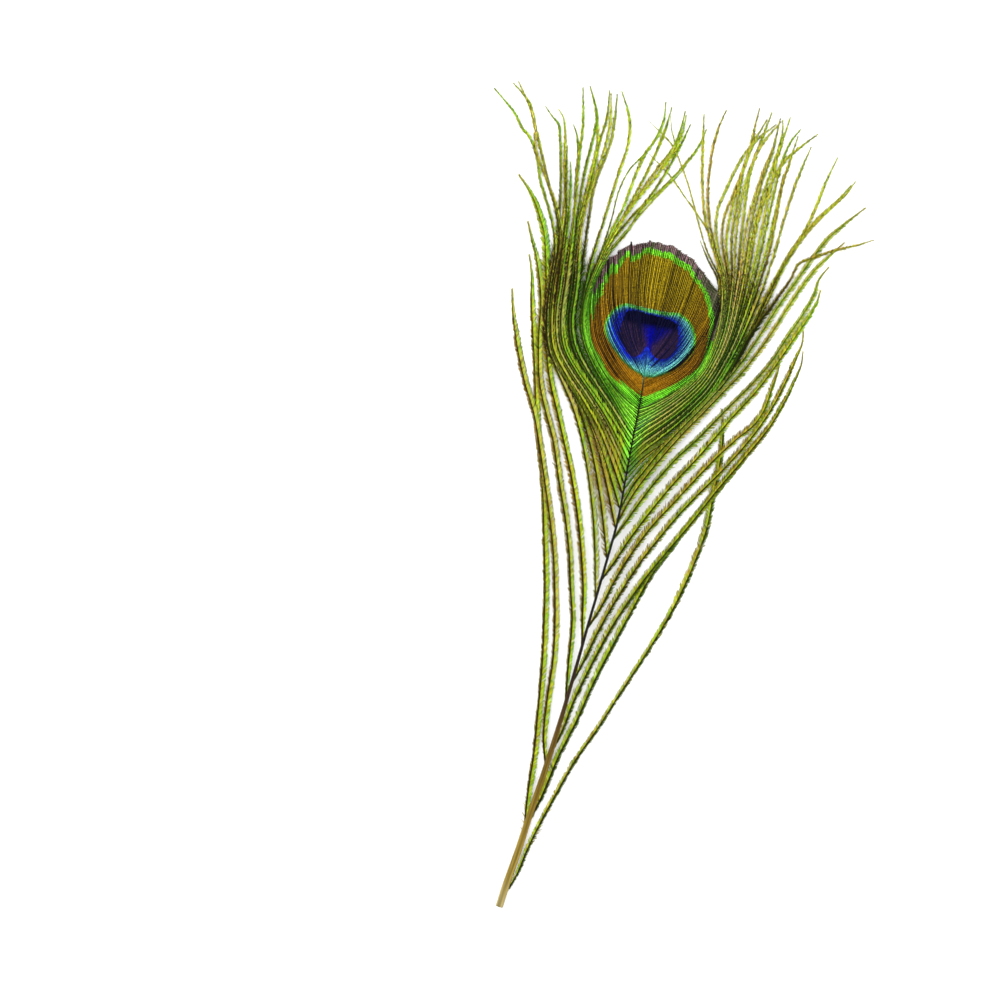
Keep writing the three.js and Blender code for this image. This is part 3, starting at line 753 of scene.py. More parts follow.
# The barbs beside the black lines, by guide and number: the part of the barb, in mm from
# its root, and the line's width. The line is the barb's ramus widened and coloured black,
# as painted shade in the split. The spike is the one barb that sticks out.
SPLITS = {
    (0, 4): (10, 19, 0.45), (1, 1): (13, 23, 0.45), (2, 0): (14, 99, 0.4), (2, 3): (14, 99, 0.4),
    (3, 0): (7, 99, 0.36), (6, 6): (3, 11, 0.4), (7, 0): (3, 12, 0.6), (8, 0): (9, 21, 0.7),
}
CLOSED = (999, 1999, 0)
SPIKE = (3, 0)
SPIKE_LENGTH = 1.2
EYE_MIDDLE = (-2, 170)
EYE_HALF = (22, 27)
EYE_CROWN = 0.45


def eye_height(share, plan):
    """The eye is a shallow dome."""
    from_middle = np.linalg.norm((plan - EYE_MIDDLE) / EYE_HALF, axis=1)
    return EYE_HEIGHT + EYE_CROWN - EYE_CROWN * from_middle ** 2


def eye_reach(full):
    """Reach of a row in the eye, a little shorter at the barb's tip."""
    def reach(share, plan):
        return full - 0.15 * smoothstep(share, 0.95, 1.0)

    return reach


# %% Set out the eye's barbs
eye_barbs = []
for i, (first, second) in enumerate(zip(EYE_FAN, EYE_FAN[1:])):
    first, second = np.array(first), np.array(second)
    gap = np.linalg.norm(first - second, axis=1).max()
    count = int(math.ceil(gap / EYE_BARB_SPACING))
    left = i < MIDDLE_GUIDE
    # The last guide is a barb too.
    for k in range(count + (i == len(EYE_FAN) - 2)):
        barb_seed += 1
        own = np.random.default_rng(barb_seed)
        weight = k / count
        points = first * (1 - weight) + second * weight
        if k % BARBS_IN_TUFT == 0:
            tuft_length = own.normal(0, 0.4 if i < 3 else 0.15)
            tuft_push = own.normal(0, 0.55 if i < 4 else 0.08)
        longer = SPIKE_LENGTH if (i, k) == SPIKE else tuft_length + own.normal(0, 0.1)
        direction = points[-1] - points[-2]
        points[-1] = points[-1] + direction / np.linalg.norm(direction) * longer
        points[2:-1] += own.normal(0, 0.05, (len(points) - 3, 2))
        # Here and there the vane has come apart. Its shade is painted: a stouter ramus and darker barbule
        # roots, and in the listed splits a wide black rod.
        split = (i, k) in SPLITS or own.random() < (0.45 if left else 0.2)
        stout = own.uniform(1.2, 1.5) if split else own.uniform(0.6, 1.0)
        push = tuft_push + own.normal(0, 0.15 if left else 0.08)
        number = len(eye_barbs)
        mauve = 0.9 if number % 2 else own.uniform(0, 0.5)
        eye_barbs.append(make_barb(
            points, eye_height, eye_reach(0.38 if split else 0.52), eye_reach(0.48), 1 if left else -1,
            kind="eye", number=number, seed=barb_seed, spread=50, tilt=0.04, stout=stout,
            fray=0.1, tuft=(0.5, 1.1), split=split, opening=SPLITS.get((i, k), CLOSED), push=push,
            mauve=mauve, bright=own.normal(0, 0.18),
            # On the left the first barb of each tuft is darkened near its end, as painted shade in the gap
            # between tufts.
            apart=0.7 if left and k % BARBS_IN_TUFT == 0 else 0.0,
        ))
print(len(eye_barbs), "barbs in the eye")

# %% [markdown]
# ## Values that colour the barbules
# We don't paint a picture here, because it would need to be huge to look sharp on blades
# this fine. Each barbule gets plain values from 0 to 1 instead: how far out of the eye it
# is, how golden, how dull, and a random brightness with painted glints. The materials
# turn them to colour.

# %% How far out of the eye a barbule is
# The scale runs from 0 in the middle of the pupil to 1 in the fringe.
PUPIL_ENDS = 0.15
BLUE_ENDS = 0.45
BRONZE_ENDS = 0.75
DISC_SHARE = 0.3         # the blue and the bronze disc each take this much of the scale
GREEN_ENDS = 0.83
FRINGE_DEPTH = 4.1       # mm from the tips of the eye's barbs to the bronze disc


def two_ends(at_ramus, at_tip):
    """A value for the three corners at the ramus and the two at the barbule's tip."""
    return np.column_stack([at_ramus] * 3 + [at_tip] * 2)


def ring_place(points, to_tip, push):
    """Each point's place on the scale above, and how close it is to the green rim of the disc."""
    pupil = distance_outside(points, PUPIL_EDGE)
    blue = distance_outside(points, BLUE_EDGE)
    bronze = np.maximum(distance_outside(points, BRONZE_EDGE), FRINGE_DEPTH - to_tip) + push
    in_pupil = PUPIL_ENDS * (1 + np.clip(pupil, -3, 0) / 3)
    in_blue = PUPIL_ENDS + DISC_SHARE * pupil / np.maximum(pupil - blue, 1e-6)
    in_bronze = BLUE_ENDS + DISC_SHARE * blue / np.maximum(blue - bronze, 1e-6)
    per_mm = 0.05 + 0.015 * smoothstep(points[:, 0], 6, 10)
    beyond = BRONZE_ENDS + per_mm * np.clip(bronze, 0, 5)
    # Low in the feather the green ring runs on into the green of the vane.
    beyond = np.where(points[:, 1] < 172, np.minimum(beyond, GREEN_ENDS), beyond)
    ring = np.where(bronze < 0, in_bronze, beyond)
    ring = np.where(blue < 0, in_blue, ring)
    ring = np.where(pupil < 0, in_pupil, ring)
    return ring, 1 - smoothstep(np.abs(blue - 0.1), 0.2, 0.5)


def in_disc(ring):
    return smoothstep(ring, 0.17, 0.24) * (1 - smoothstep(ring, 0.43, 0.45))


def shift_in_disc(ring, shift):
    """Move the places inside the blue disc by a shift, and leave the others as they are."""
    low, high = PUPIL_ENDS + 0.006, BLUE_ENDS - 0.005
    moved = np.clip(ring + shift * in_disc(ring), low, high)
    return np.where((ring > low) & (ring < BLUE_ENDS), moved, ring)


# %% Values of the eye's barbules
# Stretches over which a look comes in or goes out, in mm along the feather.
LIME_RIM_STARTS = (162, 169)
LOW_PART_ENDS = (171, 175)
BRIGHT_RING_ENDS = (158, 170)
BRONZE_COOLS = (160, 184)
LOBES_START = 166
GLINT_WAVE_LENGTH = 0.75


def eye_tint(barb, row, blades, tone, seed):
    own = np.random.default_rng(seed + 3)
    n = len(blades)
    x, y = barb["plan"].T
    left = barb["side"] > 0
    share = barb["share"]
    to_tip = (1 - share) * barb["length"] + own.normal(0, 0.1, n)
    places = []
    for points in (barb["plan"], blades[:, 3, :2]):
        places.append(ring_place(points + own.normal(0, 0.08, (n, 2)), to_tip, barb["push"]))
    (root, rim_root), (tip, rim_tip) = places
    # Left of the shaft deep blue and turquoise barbs alternate. Right of it each barb is
    # turquoise with a deep blue line along its ramus.
    low = 1 - smoothstep(y, *LOW_PART_ENDS)
    shift = 0.05 * low
    if left:
        shift = -(0.02 + 0.15 * (barb["number"] % 2)) * low * smoothstep(share, 0.15, 0.3)
    root, tip = shift_in_disc(root, shift), shift_in_disc(tip, shift)
    line = (0.12 if left else 0.3) * in_disc(tip) * low
    # Two purple-brown lobes, a deep blue fan between them and a near-black top.
    rise = np.clip(y - LOBES_START, 0, 9)
    band = smoothstep(x, -2.6 - 0.7 * rise, -0.6 - 0.4 * rise)
    band = band * (1 - smoothstep(x, -1 + 0.6 * rise, 1.4 + 0.9 * rise))
    night = smoothstep(y, 170.5 + 0.08 * x, 172.6 + 0.08 * x)
    # Painted glint: each barb is brighter and darker in a wave, half a wave on from its neighbour's, like a
    # weave.
    waves = share * barb["length"] / GLINT_WAVE_LENGTH + 0.5 * barb["number"]
    painted_weave_glint = (0.4 + 0.6 * smoothstep(x, 1, 7)) * 0.5 * np.sin(2 * np.pi * waves)
    # The ramus leaves a dark line between the barbs, weak near the shaft and in the pupil.
    weak = 0.7 + 0.3 * smoothstep(share, 0.05, 0.4)
    weak = weak * (0.35 + 0.65 * smoothstep(root, 0.14, 0.2))
    weak = weak * (1 - 0.3 * smoothstep(root, 0.745, 0.76) - 0.2 * smoothstep(root, 0.83, 0.86))
    edge = 0.4 * (1 - smoothstep(to_tip, 0.15, 0.6))
    # Painted shade of the gaps between tufts darkens the first barb of each tuft beyond the bronze disc.
    edge = np.maximum(edge, barb["apart"] * smoothstep(tip, 0.74, 0.76))
    lift = (0.1 * low + 0.25 * smoothstep(x, 4, 9)) * in_disc(tip) * (not left)
    lift = lift + 0.1 * smoothstep(x, 8, 12) * (tip > 0.46) * (1 - low)
    # Below the eye the green ring is at its brightest.
    bright_ring = smoothstep(tip, BRONZE_ENDS, 0.765) * (1 - smoothstep(y, *BRIGHT_RING_ENDS))
    lift = lift + 0.3 * bright_ring
    centre = 1 - 0.5 * smoothstep(np.abs(x + 1), 6, 16)
    # Beside a split the dark roots are at full strength, as painted shade in the split.
    dark_line = 1.0 if barb["split"] else own.uniform(0.65, 0.95)
    # Painted glint: random brightness of each barb, tuft and barbule, with the painted weave and the lifts
    # added, stands in for light sparkling on the barbules.
    tone_and_painted_glint = 0.5 + barb["bright"] + lift + 0.08 * tone + own.normal(0, 0.15, n) + 0.6 * painted_weave_glint
    return {
        "ring": two_ends(root, tip),
        "rim": two_ends(rim_root, rim_tip),
        "lime": smoothstep(y, *LIME_RIM_STARTS),
        "line": line,
        "band": band,
        "night": night,
        "warm": 1 - smoothstep(y, *BRONZE_COOLS) * centre,
        "root": dark_line * weak,
        "main": edge + 0.06 * tone + (0.0 if row == "inner" else 0.2),
        "mauve": np.maximum(barb["mauve"] - 0.6 * smoothstep(x, 6, 13) + 0.1 * tone, 0.1),
        "tone_and_painted_glint": tone_and_painted_glint,
    }


# %% [markdown]
# ## Dark and bright, gold and green
# Low on the feather a barb's inner row is bright gold and its outer row nearly black.
# Higher up both are green, and beside the eye a bright barb lies next to a deep one. A
# random value alone would look like noise, so tables say how dark each row is, and each
# barb then drifts a little from its table.

# %% How dark and how golden each row is
# Dark at the ramus, in the middle and at the tips of the barbules. Each look has four
# rows: inner and outer low on the feather, then inner and outer high on it.
SHADES = {
    "loose left": ((0.3, 0.0, 0.2), (1.0, 0.8, 0.5), (0.2, 0.0, 0.65), (1.0, 0.55, 0.35)),
    "loose right": ((0.15, 0.05, 0.25), (1.0, 0.85, 0.65), (0.1, 0.6, 0.5), (1.0, 0.45, 0.05)),
    "bright left": ((0.35, 0.0, 0.5), (1.0, 0.75, 0.2), (0.15, 0.05, 0.3), (0.5, 0.3, 0.35)),
    "deep left": ((0.85, 0.5, 0.75), (1.0, 0.95, 0.6), (0.5, 0.25, 0.4), (0.75, 0.5, 0.4)),
    "bright right": ((0.3, 0.0, 0.5), (1.0, 0.75, 0.2), (0.1, 0.0, 0.25), (0.3, 0.1, 0.1)),
    "deep right": ((0.9, 0.65, 0.8), (1.0, 0.95, 0.6), (0.3, 0.1, 0.4), (0.6, 0.3, 0.2)),
}
# How much of that is kept where the feather is bright green, for the inner and outer row.
KEPT = {
    "loose": ((0.7, 0.05, 0.1), (0.7, 0.05, 0.1)),
    "bright": ((0.95, 0.05, 0.5), (1.0, 0.5, 0.3)),
    "deep": ((1.0, 0.5, 0.7), (1.0, 0.8, 0.6)),
}
# How golden a row is at the ramus and at the tips, for the inner and the outer row.
WARMTH = {
    "loose left": ((0.82, 0.48), (0.95, 0.95)), "loose right": ((0.72, 0.85), (0.65, 0.5)),
    "plume left": ((0.66, 0.5), (0.7, 0.85)), "plume right": ((0.72, 0.9), (0.72, 0.58)),
}
# Stretches of the feather over which a look comes in or goes out, in mm along it.
VANE_ENDS = (178, 192)
LOOSE_TURNS_BRIGHT = (95, 125)
LOOSE_ENDS = (165, 190)
BUNDLE_STARTS = (128, 142)
HEART_STARTS = (116, 134)
HEART_WIDENS = (134, 149)
RING_FADES = (158, 174)
RIGHT_SHADOW_STARTS = (132, 148)
RIGHT_SHADOW_ENDS = (170, 182)
RIGHT_PLUMES_DARK = (175, 190)
RIGHT_PLUMES_CLEAR = (195, 215)
LEFT_FLANK_DARK = (145, 165)
LEFT_PLUMES_DARK = (165, 180)
LEFT_PLUMES_CLEAR = (205, 228)
DRIFT_LENGTH = 12


def green_places(barb, beside):
    """How bright green a barb is by the shaft and the eye, how green, and its way from the eye."""
    x, y = barb["plan"].T
    from_eye = distance_outside(barb["plan"], BRONZE_EDGE)
    # The bright green below the eye narrows to a thin seam along the shaft.
    heart = 3 + 6 * smoothstep(y, *HEART_WIDENS)
    near_shaft = 1 - smoothstep(np.abs(x - shaft_x(y)), 1.0, heart)
    near_shaft = near_shaft * smoothstep(y, *HEART_STARTS) * beside
    near_ring = (1 - smoothstep(from_eye, 1.0, 3.0)) * beside
    near_ring = near_ring * (1 - 0.7 * smoothstep(y, *RING_FADES))
    vivid = np.maximum(near_ring, near_shaft * (0.9 if barb["side"] > 0 else 0.62))
    green = np.maximum(near_shaft, 1 - smoothstep(from_eye, 3, 16)) * beside
    return vivid, green, from_eye


def loose_look(barb, inner):
    """What sets a row of a loose barb apart."""
    right = barb["side"] < 0
    y = barb["plan"][:, 1]
    high = smoothstep(y, *LOOSE_TURNS_BRIGHT)
    ends = smoothstep(y, *LOOSE_ENDS)
    dark = 0
    # From the first right barb up the inner rows get darker and the outer rows brighter.
    if right and inner:
        dark = 0.08 * min(barb["number"], 3) * (1 - high)
    elif right:
        dark = -0.3 * smoothstep(barb["number"], 3, 6) * high
    # The ends of the loose barbs are greener and brighter.
    warm = -0.15 * (right and barb["number"] == 0) - (0.1 if right else 0.3) * ends
    return {
        "name": "loose", "high": high if inner else high * (1 - barb["dusk"]),
        "dark": dark - 0.25 * ends, "warm": warm, "contrast": 0,
        "lift": 0.15 * ends * right + 0.04, "grain": 0.22, "painted_glint_spread": 0.8, "bare": 0.8,
    }


def bundle_look(barb, beside, vivid, as_loose):
    """What sets a barb of the bundle apart. Every other one is deep green."""
    right = barb["side"] < 0
    y = barb["plan"][:, 1]
    deep = barb["number"] % 2
    warm = -0.15 * smoothstep(barb["share"], 0.85, 1.0)
    if right:
        # The right edge of the bundle is deep green, and so are the first barbs' roots.
        shadow = smoothstep(y, *RIGHT_SHADOW_STARTS) * (1 - smoothstep(y, *RIGHT_SHADOW_ENDS))
        shadow = shadow * (barb["number"] < 9)
        dark = 0.1 * smoothstep(y, *RIGHT_PLUMES_DARK) * (1 - smoothstep(y, *RIGHT_PLUMES_CLEAR))
        dark = dark + 0.16 * shadow
        warm = warm - 0.2 * shadow - 0.25 * deep * beside - 0.2 * as_loose
    else:
        # Beside the eye's left edge it is deep green too, and its plumes start out dark.
        dark = (0.07 * beside + 0.1 * smoothstep(y, *LEFT_FLANK_DARK)) * (1 - vivid)
        dark = dark + 0.12 * smoothstep(y, *LEFT_PLUMES_DARK)
        dark = dark * (1 - smoothstep(y, *LEFT_PLUMES_CLEAR)) * (barb["number"] < 15)
        warm = warm + 0.12 * (barb["number"] < 10) * beside
    return {
        "name": "deep" if deep else "bright", "high": smoothstep(y, 184, 212 if deep else 200),
        "dark": dark, "warm": warm, "contrast": -0.14 if deep else (0.24 if right else 0.14),
        "lift": 0.1 * (1 - beside), "grain": 0.08 + 0.1 * (1 - beside),
        "painted_glint_spread": 1.5 - 1.1 * beside, "bare": 0.25,
    }


def rosy_beside_eye(barb, inner, drift, from_eye, own_barb):
    """How rosy a row of the bundle is, and where. Most of the bright barbs right of the eye are."""
    near_eye = barb["side"] < 0 and barb["number"] > 8
    rosy_barb = barb["number"] % 2 == 0 and own_barb.random() < (0.85 if near_eye else 0.5)
    rosy = 0.05
    if not inner:
        rosy = 0.25 + 0.35 * smoothstep(drift, -0.5, 0.5)
    elif rosy_barb:
        rosy = 0.35 * near_eye + (0.6 - 0.2 * near_eye) * smoothstep(drift, -0.3, 0.6)
    return rosy, smoothstep(from_eye, 2 - near_eye, 7 - 3 * near_eye)


# %% Values of all other barbules
def barb_tint(barb, row, blades, tone, seed):
    own = np.random.default_rng(seed + 3)
    own_barb = np.random.default_rng(barb["seed"])
    n = len(blades)
    y = barb["plan"][:, 1]
    pick = 0 if row == "inner" else 1
    hand = "left" if barb["side"] > 0 else "right"
    plume = barb["kind"] == "plume"
    drift = slow_noise(n, BARBULE_PITCH, DRIFT_LENGTH, seed + 7)
    beside = 1 - smoothstep(y, *VANE_ENDS)
    # The outermost barbs of the bundle start out like the loose ones.
    as_loose = (1 - smoothstep(y, *BUNDLE_STARTS)) * (plume and barb["number"] < 8)
    vivid, green, from_eye = green_places(barb, beside)
    vivid = vivid * (1 - 0.75 * as_loose)
    look = bundle_look(barb, beside, vivid, as_loose) if plume else loose_look(barb, pick == 0)

    rosy_barb = own_barb.random() < 0.35
    barb_warm = own_barb.uniform(-0.12, 0.12)
    rosy = 0.08 + 0.4 * rosy_barb + 0.14 * (plume and hand == "right")
    rosy = rosy * (0.8 + 0.2 * drift) * smoothstep(barb["share"], 0.1, 0.35) * (1 - vivid)
    if plume:
        rosy_beside, away = rosy_beside_eye(barb, pick == 0, drift, from_eye, own_barb)
        rosy = (rosy * (1 - beside) + rosy_beside * beside) * away * (1 - vivid)

    shades = {}
    by_hand = look["name"] + " " + hand
    for part, key in enumerate(("root", "main", "tip")):
        low_shade, high_shade = SHADES[by_hand][pick][part], SHADES[by_hand][pick + 2][part]
        shade = low_shade * (1 - look["high"]) + high_shade * look["high"]
        shade = shade * (1 - as_loose) + SHADES["loose " + hand][pick + 2][part] * as_loose
        noise = 0.08 * drift + 0.05 * tone + look["grain"] * own.normal(0, 1, n)
        shade = shade + noise * (1 - 0.5 * beside) + look["dark"]
        shades[key] = shade * (1 - (1 - KEPT[look["name"]][pick][part]) * vivid * (1 - as_loose))

    length = np.linalg.norm(blades[:, 3, :2] - barb["plan"], axis=1)
    downy = (length > 2.1 * barb[row]) * (barb["down"] > 0)
    warm = barb_warm + look["warm"] + 0.1 * drift - 0.36 * green + own.normal(0, 0.13, n)
    at_ramus, at_tip = WARMTH[barb["kind"] + " " + hand][pick]
    # The glint is painted: random brightness in pairs of barbules and in tufts stands in for light sparkling
    # on the barbules, on top of the rows' own tone.
    pair = np.repeat(own.normal(0, 0.14, n // 2 + 1), 2)[:n]
    lift = (0.17 if hand == "left" else 0.05) * vivid + look["contrast"] * beside
    lift = lift * (1 - as_loose) + look["lift"]
    extra = 0.08 * tone * rosy_barb
    return shades | {
        "warm": two_ends(at_ramus + warm, at_tip + warm),
        "vivid": vivid,
        "mint": vivid * (hand == "right") * own_barb.choice([0.0, 0.15, 0.8]),
        "rosy": two_ends(0.2 * rosy + extra, rosy + extra),
        "tone_and_painted_glint": 0.5 + lift + look["painted_glint_spread"] * (0.15 * tone + pair + own.normal(0, 0.1, n)),
        "bare": np.maximum(look["bare"] * smoothstep(barb["share"], 0.95, 1.0), 0.7 * downy),
    }


# %% Tone of the rods
def ramus_tone(barb):
    """0 is the blue-black of the eye's middle, 0.05 the black of painted shade in a split, 0.1 dark brown
    and 1 lime, a painted highlight.
    """
    y = barb["plan"][:, 1]
    if barb["kind"] == "eye":
        outside = distance_outside(barb["plan"], BLUE_EDGE)
        return (0.05 if barb["opening"][2] > 0 else 0.1) * smoothstep(outside, -0.3, 0.1)
    if barb["kind"] == "loose":
        return np.full(len(y), 0.2)
    # Higher on the plumes the rods turn lime, a painted highlight where the light catches them.
    most = np.random.default_rng(barb["seed"] + 7).uniform(0.2, 0.7)
    return 0.18 + (most if barb["side"] > 0 else most + 0.1) * smoothstep(y, 188, 210)


# %% [markdown]
# ## All barbs as mesh
# A piece with too many faces is slow to open and to export. So the left and the right
# side are pieces of their own, and each stays under 200,000 faces.

# %% Make the barbs
left_plumes = plume_barbs[:len(PLUMES_LEFT)]
right_plumes = plume_barbs[len(PLUMES_LEFT):]
left_eye = [barb for barb in eye_barbs if barb["side"] > 0]
right_eye = [barb for barb in eye_barbs if barb["side"] < 0]
loose_barbules = build_barbules("loose_barbules", loose_barbs, barb_tint)
plume_barbules_left = build_barbules("plume_barbules_left", left_plumes, barb_tint)
plume_barbules_right = build_barbules("plume_barbules_right", right_plumes, barb_tint)
eye_barbules_left = build_barbules("eye_barbules_left", left_eye, eye_tint)
eye_barbules_right = build_barbules("eye_barbules_right", right_eye, eye_tint)
loose_rami = build_rami("loose_rami", loose_barbs, root_width=0.48, tip_width=0.14)
plume_rami = build_rami("plume_rami", plume_barbs, root_width=0.32, tip_width=0.1)
eye_rami = build_rami("eye_rami", eye_barbs, root_width=0.28, tip_width=0.24)

# %% [markdown]
# ## The shaft's mesh
# The shaft tapers from the quill to a hair, and is a little wider than it is high. A
# bevelled curve could do it. We use the same tube as for the rods, because its corners
# then carry the values that the material needs. The groove along its top is too shallow
# to model, so the material paints its shade.

# %% Make the shaft
SHAFT_STEP = 1.0
SHAFT_SIDES = 24
SHAFT_INSET = 0.94       # the feet of the barbs cover the rest of its width
SHAFT_FLATNESS = 0.9
shaft_plan = smooth_route(SHAFT_ROUTE[:, [1, 0]], SHAFT_STEP)
shaft_steps = len(shaft_plan)
shaft_route = np.column_stack([shaft_plan, shaft_height(shaft_plan[:, 1])])
shaft_widths = shaft_width(shaft_plan[:, 1]) * SHAFT_INSET
shaft_corners, shaft_walls, shaft_start, shaft_end = tube(
    shaft_route, shaft_widths, shaft_widths * SHAFT_FLATNESS, SHAFT_SIDES,
)
around = (np.arange(SHAFT_SIDES) + 0.5) / SHAFT_SIDES
shaft_values = {
    "along": np.repeat(np.linspace(0, 1, shaft_steps), SHAFT_SIDES),
    "across": np.tile(np.cos(2 * np.pi * around), shaft_steps),
}
shaft_uv = np.column_stack([shaft_values["along"], np.tile(around, shaft_steps)])
shaft_faces = [shaft_walls, shaft_start, shaft_end]
shaft = add_mesh("shaft", shaft_corners, shaft_faces, shaft_values, shaft_uv)
print("shaft length", round((shaft_steps - 1) * SHAFT_STEP), "mm")

# %% [markdown]
# ## Materials
# Everything on a feather is keratin, the stuff of horn and nails, with an IOR of about
# 1.55. The shaft is bare keratin. In the barbules layers of dark pigment in keratin
# reflect one colour each, which gives a tinted, slightly metallic shine.


# %% Colour and node helpers
def linear(hex_code):
    """An sRGB hex colour as linear red, green, blue and alpha."""
    parts = [int(hex_code[i:i + 2], 16) / 255 for i in (1, 3, 5)]
    return tuple(p / 12.92 if p <= 0.04045 else ((p + 0.055) / 1.055) ** 2.4 for p in parts) + (1.0,)


def add_node(tree, kind, settings=None, inputs=None, stops=None):
    """Add a node, set its properties, and give its inputs a value or a link."""
    made = tree.nodes.new(kind)
    for key, value in (settings or {}).items():
        setattr(made, key, value)
    for key, value in (inputs or {}).items():
        if isinstance(value, bpy.types.NodeSocket):
            tree.links.new(value, made.inputs[key])
        else:
            made.inputs[key].default_value = value
    if stops:
        ramp = made.color_ramp
        while len(ramp.elements) < len(stops):
            ramp.elements.new(0.5)
        for element, (place, hex_code) in zip(ramp.elements, stops):
            element.position = place
            element.color = linear(hex_code)
    return made


def new_material(name, *keys):
    """An empty material, its node tree, and the mesh values that it reads."""
    material = bpy.data.materials.new(name)
    material.use_nodes = True
    tree = material.node_tree
    tree.nodes.clear()
    values = {
        key: add_node(tree, "ShaderNodeAttribute", {"attribute_name": key}).outputs["Fac"]
        for key in keys
    }
    return material, tree, values


KERATIN_IOR = 1.55


def finish_material(tree, colour, roughness, metallic, ior=KERATIN_IOR, **extra):
    inputs = {"Base Color": colour, "Roughness": roughness, "Metallic": metallic, "IOR": ior, **extra}
    shader = add_node(tree, "ShaderNodeBsdfPrincipled", inputs=inputs)
    add_node(tree, "ShaderNodeOutputMaterial", inputs={"Surface": shader.outputs[0]})


# %% [markdown]
# ### Bare keratin: the shaft and the rods
# Bare keratin is smooth but finely ridged, so it has a soft sheen and no clear highlight.
# The shaft is horn tan at the quill, then brown, and green-black where it enters the eye.
# A picture could hold that, but a ramp along the shaft is simpler and stays sharp. Long
# fibres streak it. Painted shade darkens the groove along its top and its underside, and
# the sides are painted a little lighter.

# %% Keratin of the shaft
DULL_GLOSS = 0.08        # fine ridges scatter most of the gloss of bare keratin
STREAKS_PER_MM = (3, 0.09, 3)   # real fibres are finer, and would not show
shaft_keratin, tree, value = new_material("keratin_horn_tan", "along", "across")
tan = add_node(tree, "ShaderNodeValToRGB", inputs={0: value["along"]}, stops=[
    (0.0, "#B0A068"), (0.06, "#A08838"), (0.2, "#886E1E"), (0.3, "#6E5418"), (0.37, "#422E16"),
    (0.46, "#261C10"), (0.6, "#14140E"), (0.8, "#0C140A"), (0.93, "#101C0C"), (0.943, "#174A34"),
    (0.953, "#2C8A74"), (0.966, "#1C5468"), (0.985, "#101C6C"), (1.0, "#0C1288"),
])
place = add_node(tree, "ShaderNodeTexCoord")
stretch = add_node(tree, "ShaderNodeMapping", inputs={
    0: place.outputs["Object"], "Scale": tuple(streaks / MM for streaks in STREAKS_PER_MM),
})
fibres = add_node(tree, "ShaderNodeTexNoise", inputs={
    "Vector": stretch.outputs[0], "Scale": 1.0, "Detail": 3.0,
})
fibre_tone = add_node(tree, "ShaderNodeMapRange", inputs={
    0: fibres.outputs[0], 1: 0.3, 2: 0.7, 3: 0.36, 4: 0.9,
})
# Painted shade: darker along the top and the bottom of the tube, a little lighter at its sides.
from_groove = add_node(tree, "ShaderNodeMath", {"operation": "ABSOLUTE"}, {0: value["across"]})
groove_shade = add_node(tree, "ShaderNodeMapRange", {"interpolation_type": "SMOOTHSTEP"}, {
    0: from_groove.outputs[0], 1: 0.1, 2: 0.5, 3: 0.62, 4: 1.1,
})
both = add_node(tree, "ShaderNodeMath", {"operation": "MULTIPLY"}, {
    0: fibre_tone.outputs[0], 1: groove_shade.outputs[0],
})
streaked = add_node(tree, "ShaderNodeVectorMath", {"operation": "SCALE"}, {
    0: tan.outputs[0], "Scale": both.outputs[0],
})
finish_material(tree, streaked.outputs[0], 0.5, 0.0, **{"Specular IOR Level": DULL_GLOSS})

# %% Keratin of the rods: brown, and a painted lime highlight where the light catches them
RAMUS_GLOSS = 0.04       # the thin rods are rougher still
ramus_keratin, tree, value = new_material("keratin_brown_to_painted_lime", "tone")
brown = add_node(tree, "ShaderNodeValToRGB", inputs={0: value["tone"]}, stops=[
    (0.0, "#060724"), (0.05, "#040404"), (0.1, "#120F06"), (0.3, "#221A08"), (0.6, "#626414"),
    (1.0, "#A8AE2C"),
])
finish_material(tree, brown.outputs[0], 0.55, 0.0, **{"Specular IOR Level": RAMUS_GLOSS})

# %% [markdown]
# ### Barbules: layered keratin
# The pigment layers of a barbule act as a tinted mirror, and its curved cells blur what it
# reflects. So the shader is metallic and rather rough. The tint of the real one changes
# with the angle of view. We keep the tint that it has from straight above, because the
# colours have to hold when they are baked. One colour after the other is laid over the
# last, each by a value of the mesh.

# %% What the two barbule materials share
BARBULE_METALLIC = 1.0
BARBULE_ROUGHNESS = 0.45
EDGE_TINT = (0.25, 0.25, 0.25, 1.0)   # a layered reflector doesn't turn white at low angles


def finish_barbules(tree, colour, tone_and_painted_glint, darkest, brightest):
    """Let the painted glint, with the barbules' random brightness, scale the colour, and finish the material
    as layered keratin.
    """
    spark = add_node(tree, "ShaderNodeMapRange", inputs={0: tone_and_painted_glint, 3: darkest, 4: brightest})
    lit = add_node(tree, "ShaderNodeVectorMath", {"operation": "SCALE"}, {
        0: colour, "Scale": spark.outputs[0],
    })
    tint = {"Specular Tint": EDGE_TINT}
    finish_material(tree, lit.outputs[0], BARBULE_ROUGHNESS, BARBULE_METALLIC, **tint)


# %% Barbules of the barbs and plumes: green to gold
green_gold, tree, value = new_material(
    "barbules_green_gold",
    "warm", "vivid", "mint", "rosy", "root", "main", "tip", "reach", "tone_and_painted_glint", "bare",
)
shade = value["root"]
for key, low, high in (("main", 0.28, 0.5), ("tip", 0.65, 0.9)):
    out_there = add_node(tree, "ShaderNodeMapRange", inputs={0: value["reach"], 1: low, 2: high})
    shade = add_node(tree, "ShaderNodeMix", inputs={
        0: out_there.outputs[0], 2: shade, 3: value[key],
    }).outputs[0]
hue = add_node(tree, "ShaderNodeValToRGB", inputs={0: value["warm"]}, stops=[
    (0.0, "#3A841A"), (0.3, "#5E9A20"), (0.6, "#98B424"), (0.85, "#B0AC28"), (1.0, "#B0902E"),
])
depth = add_node(tree, "ShaderNodeValToRGB", inputs={0: value["warm"]}, stops=[
    (0.0, "#0E2606"), (0.5, "#20280A"), (1.0, "#34240E"),
])
colour = hue.outputs[0]
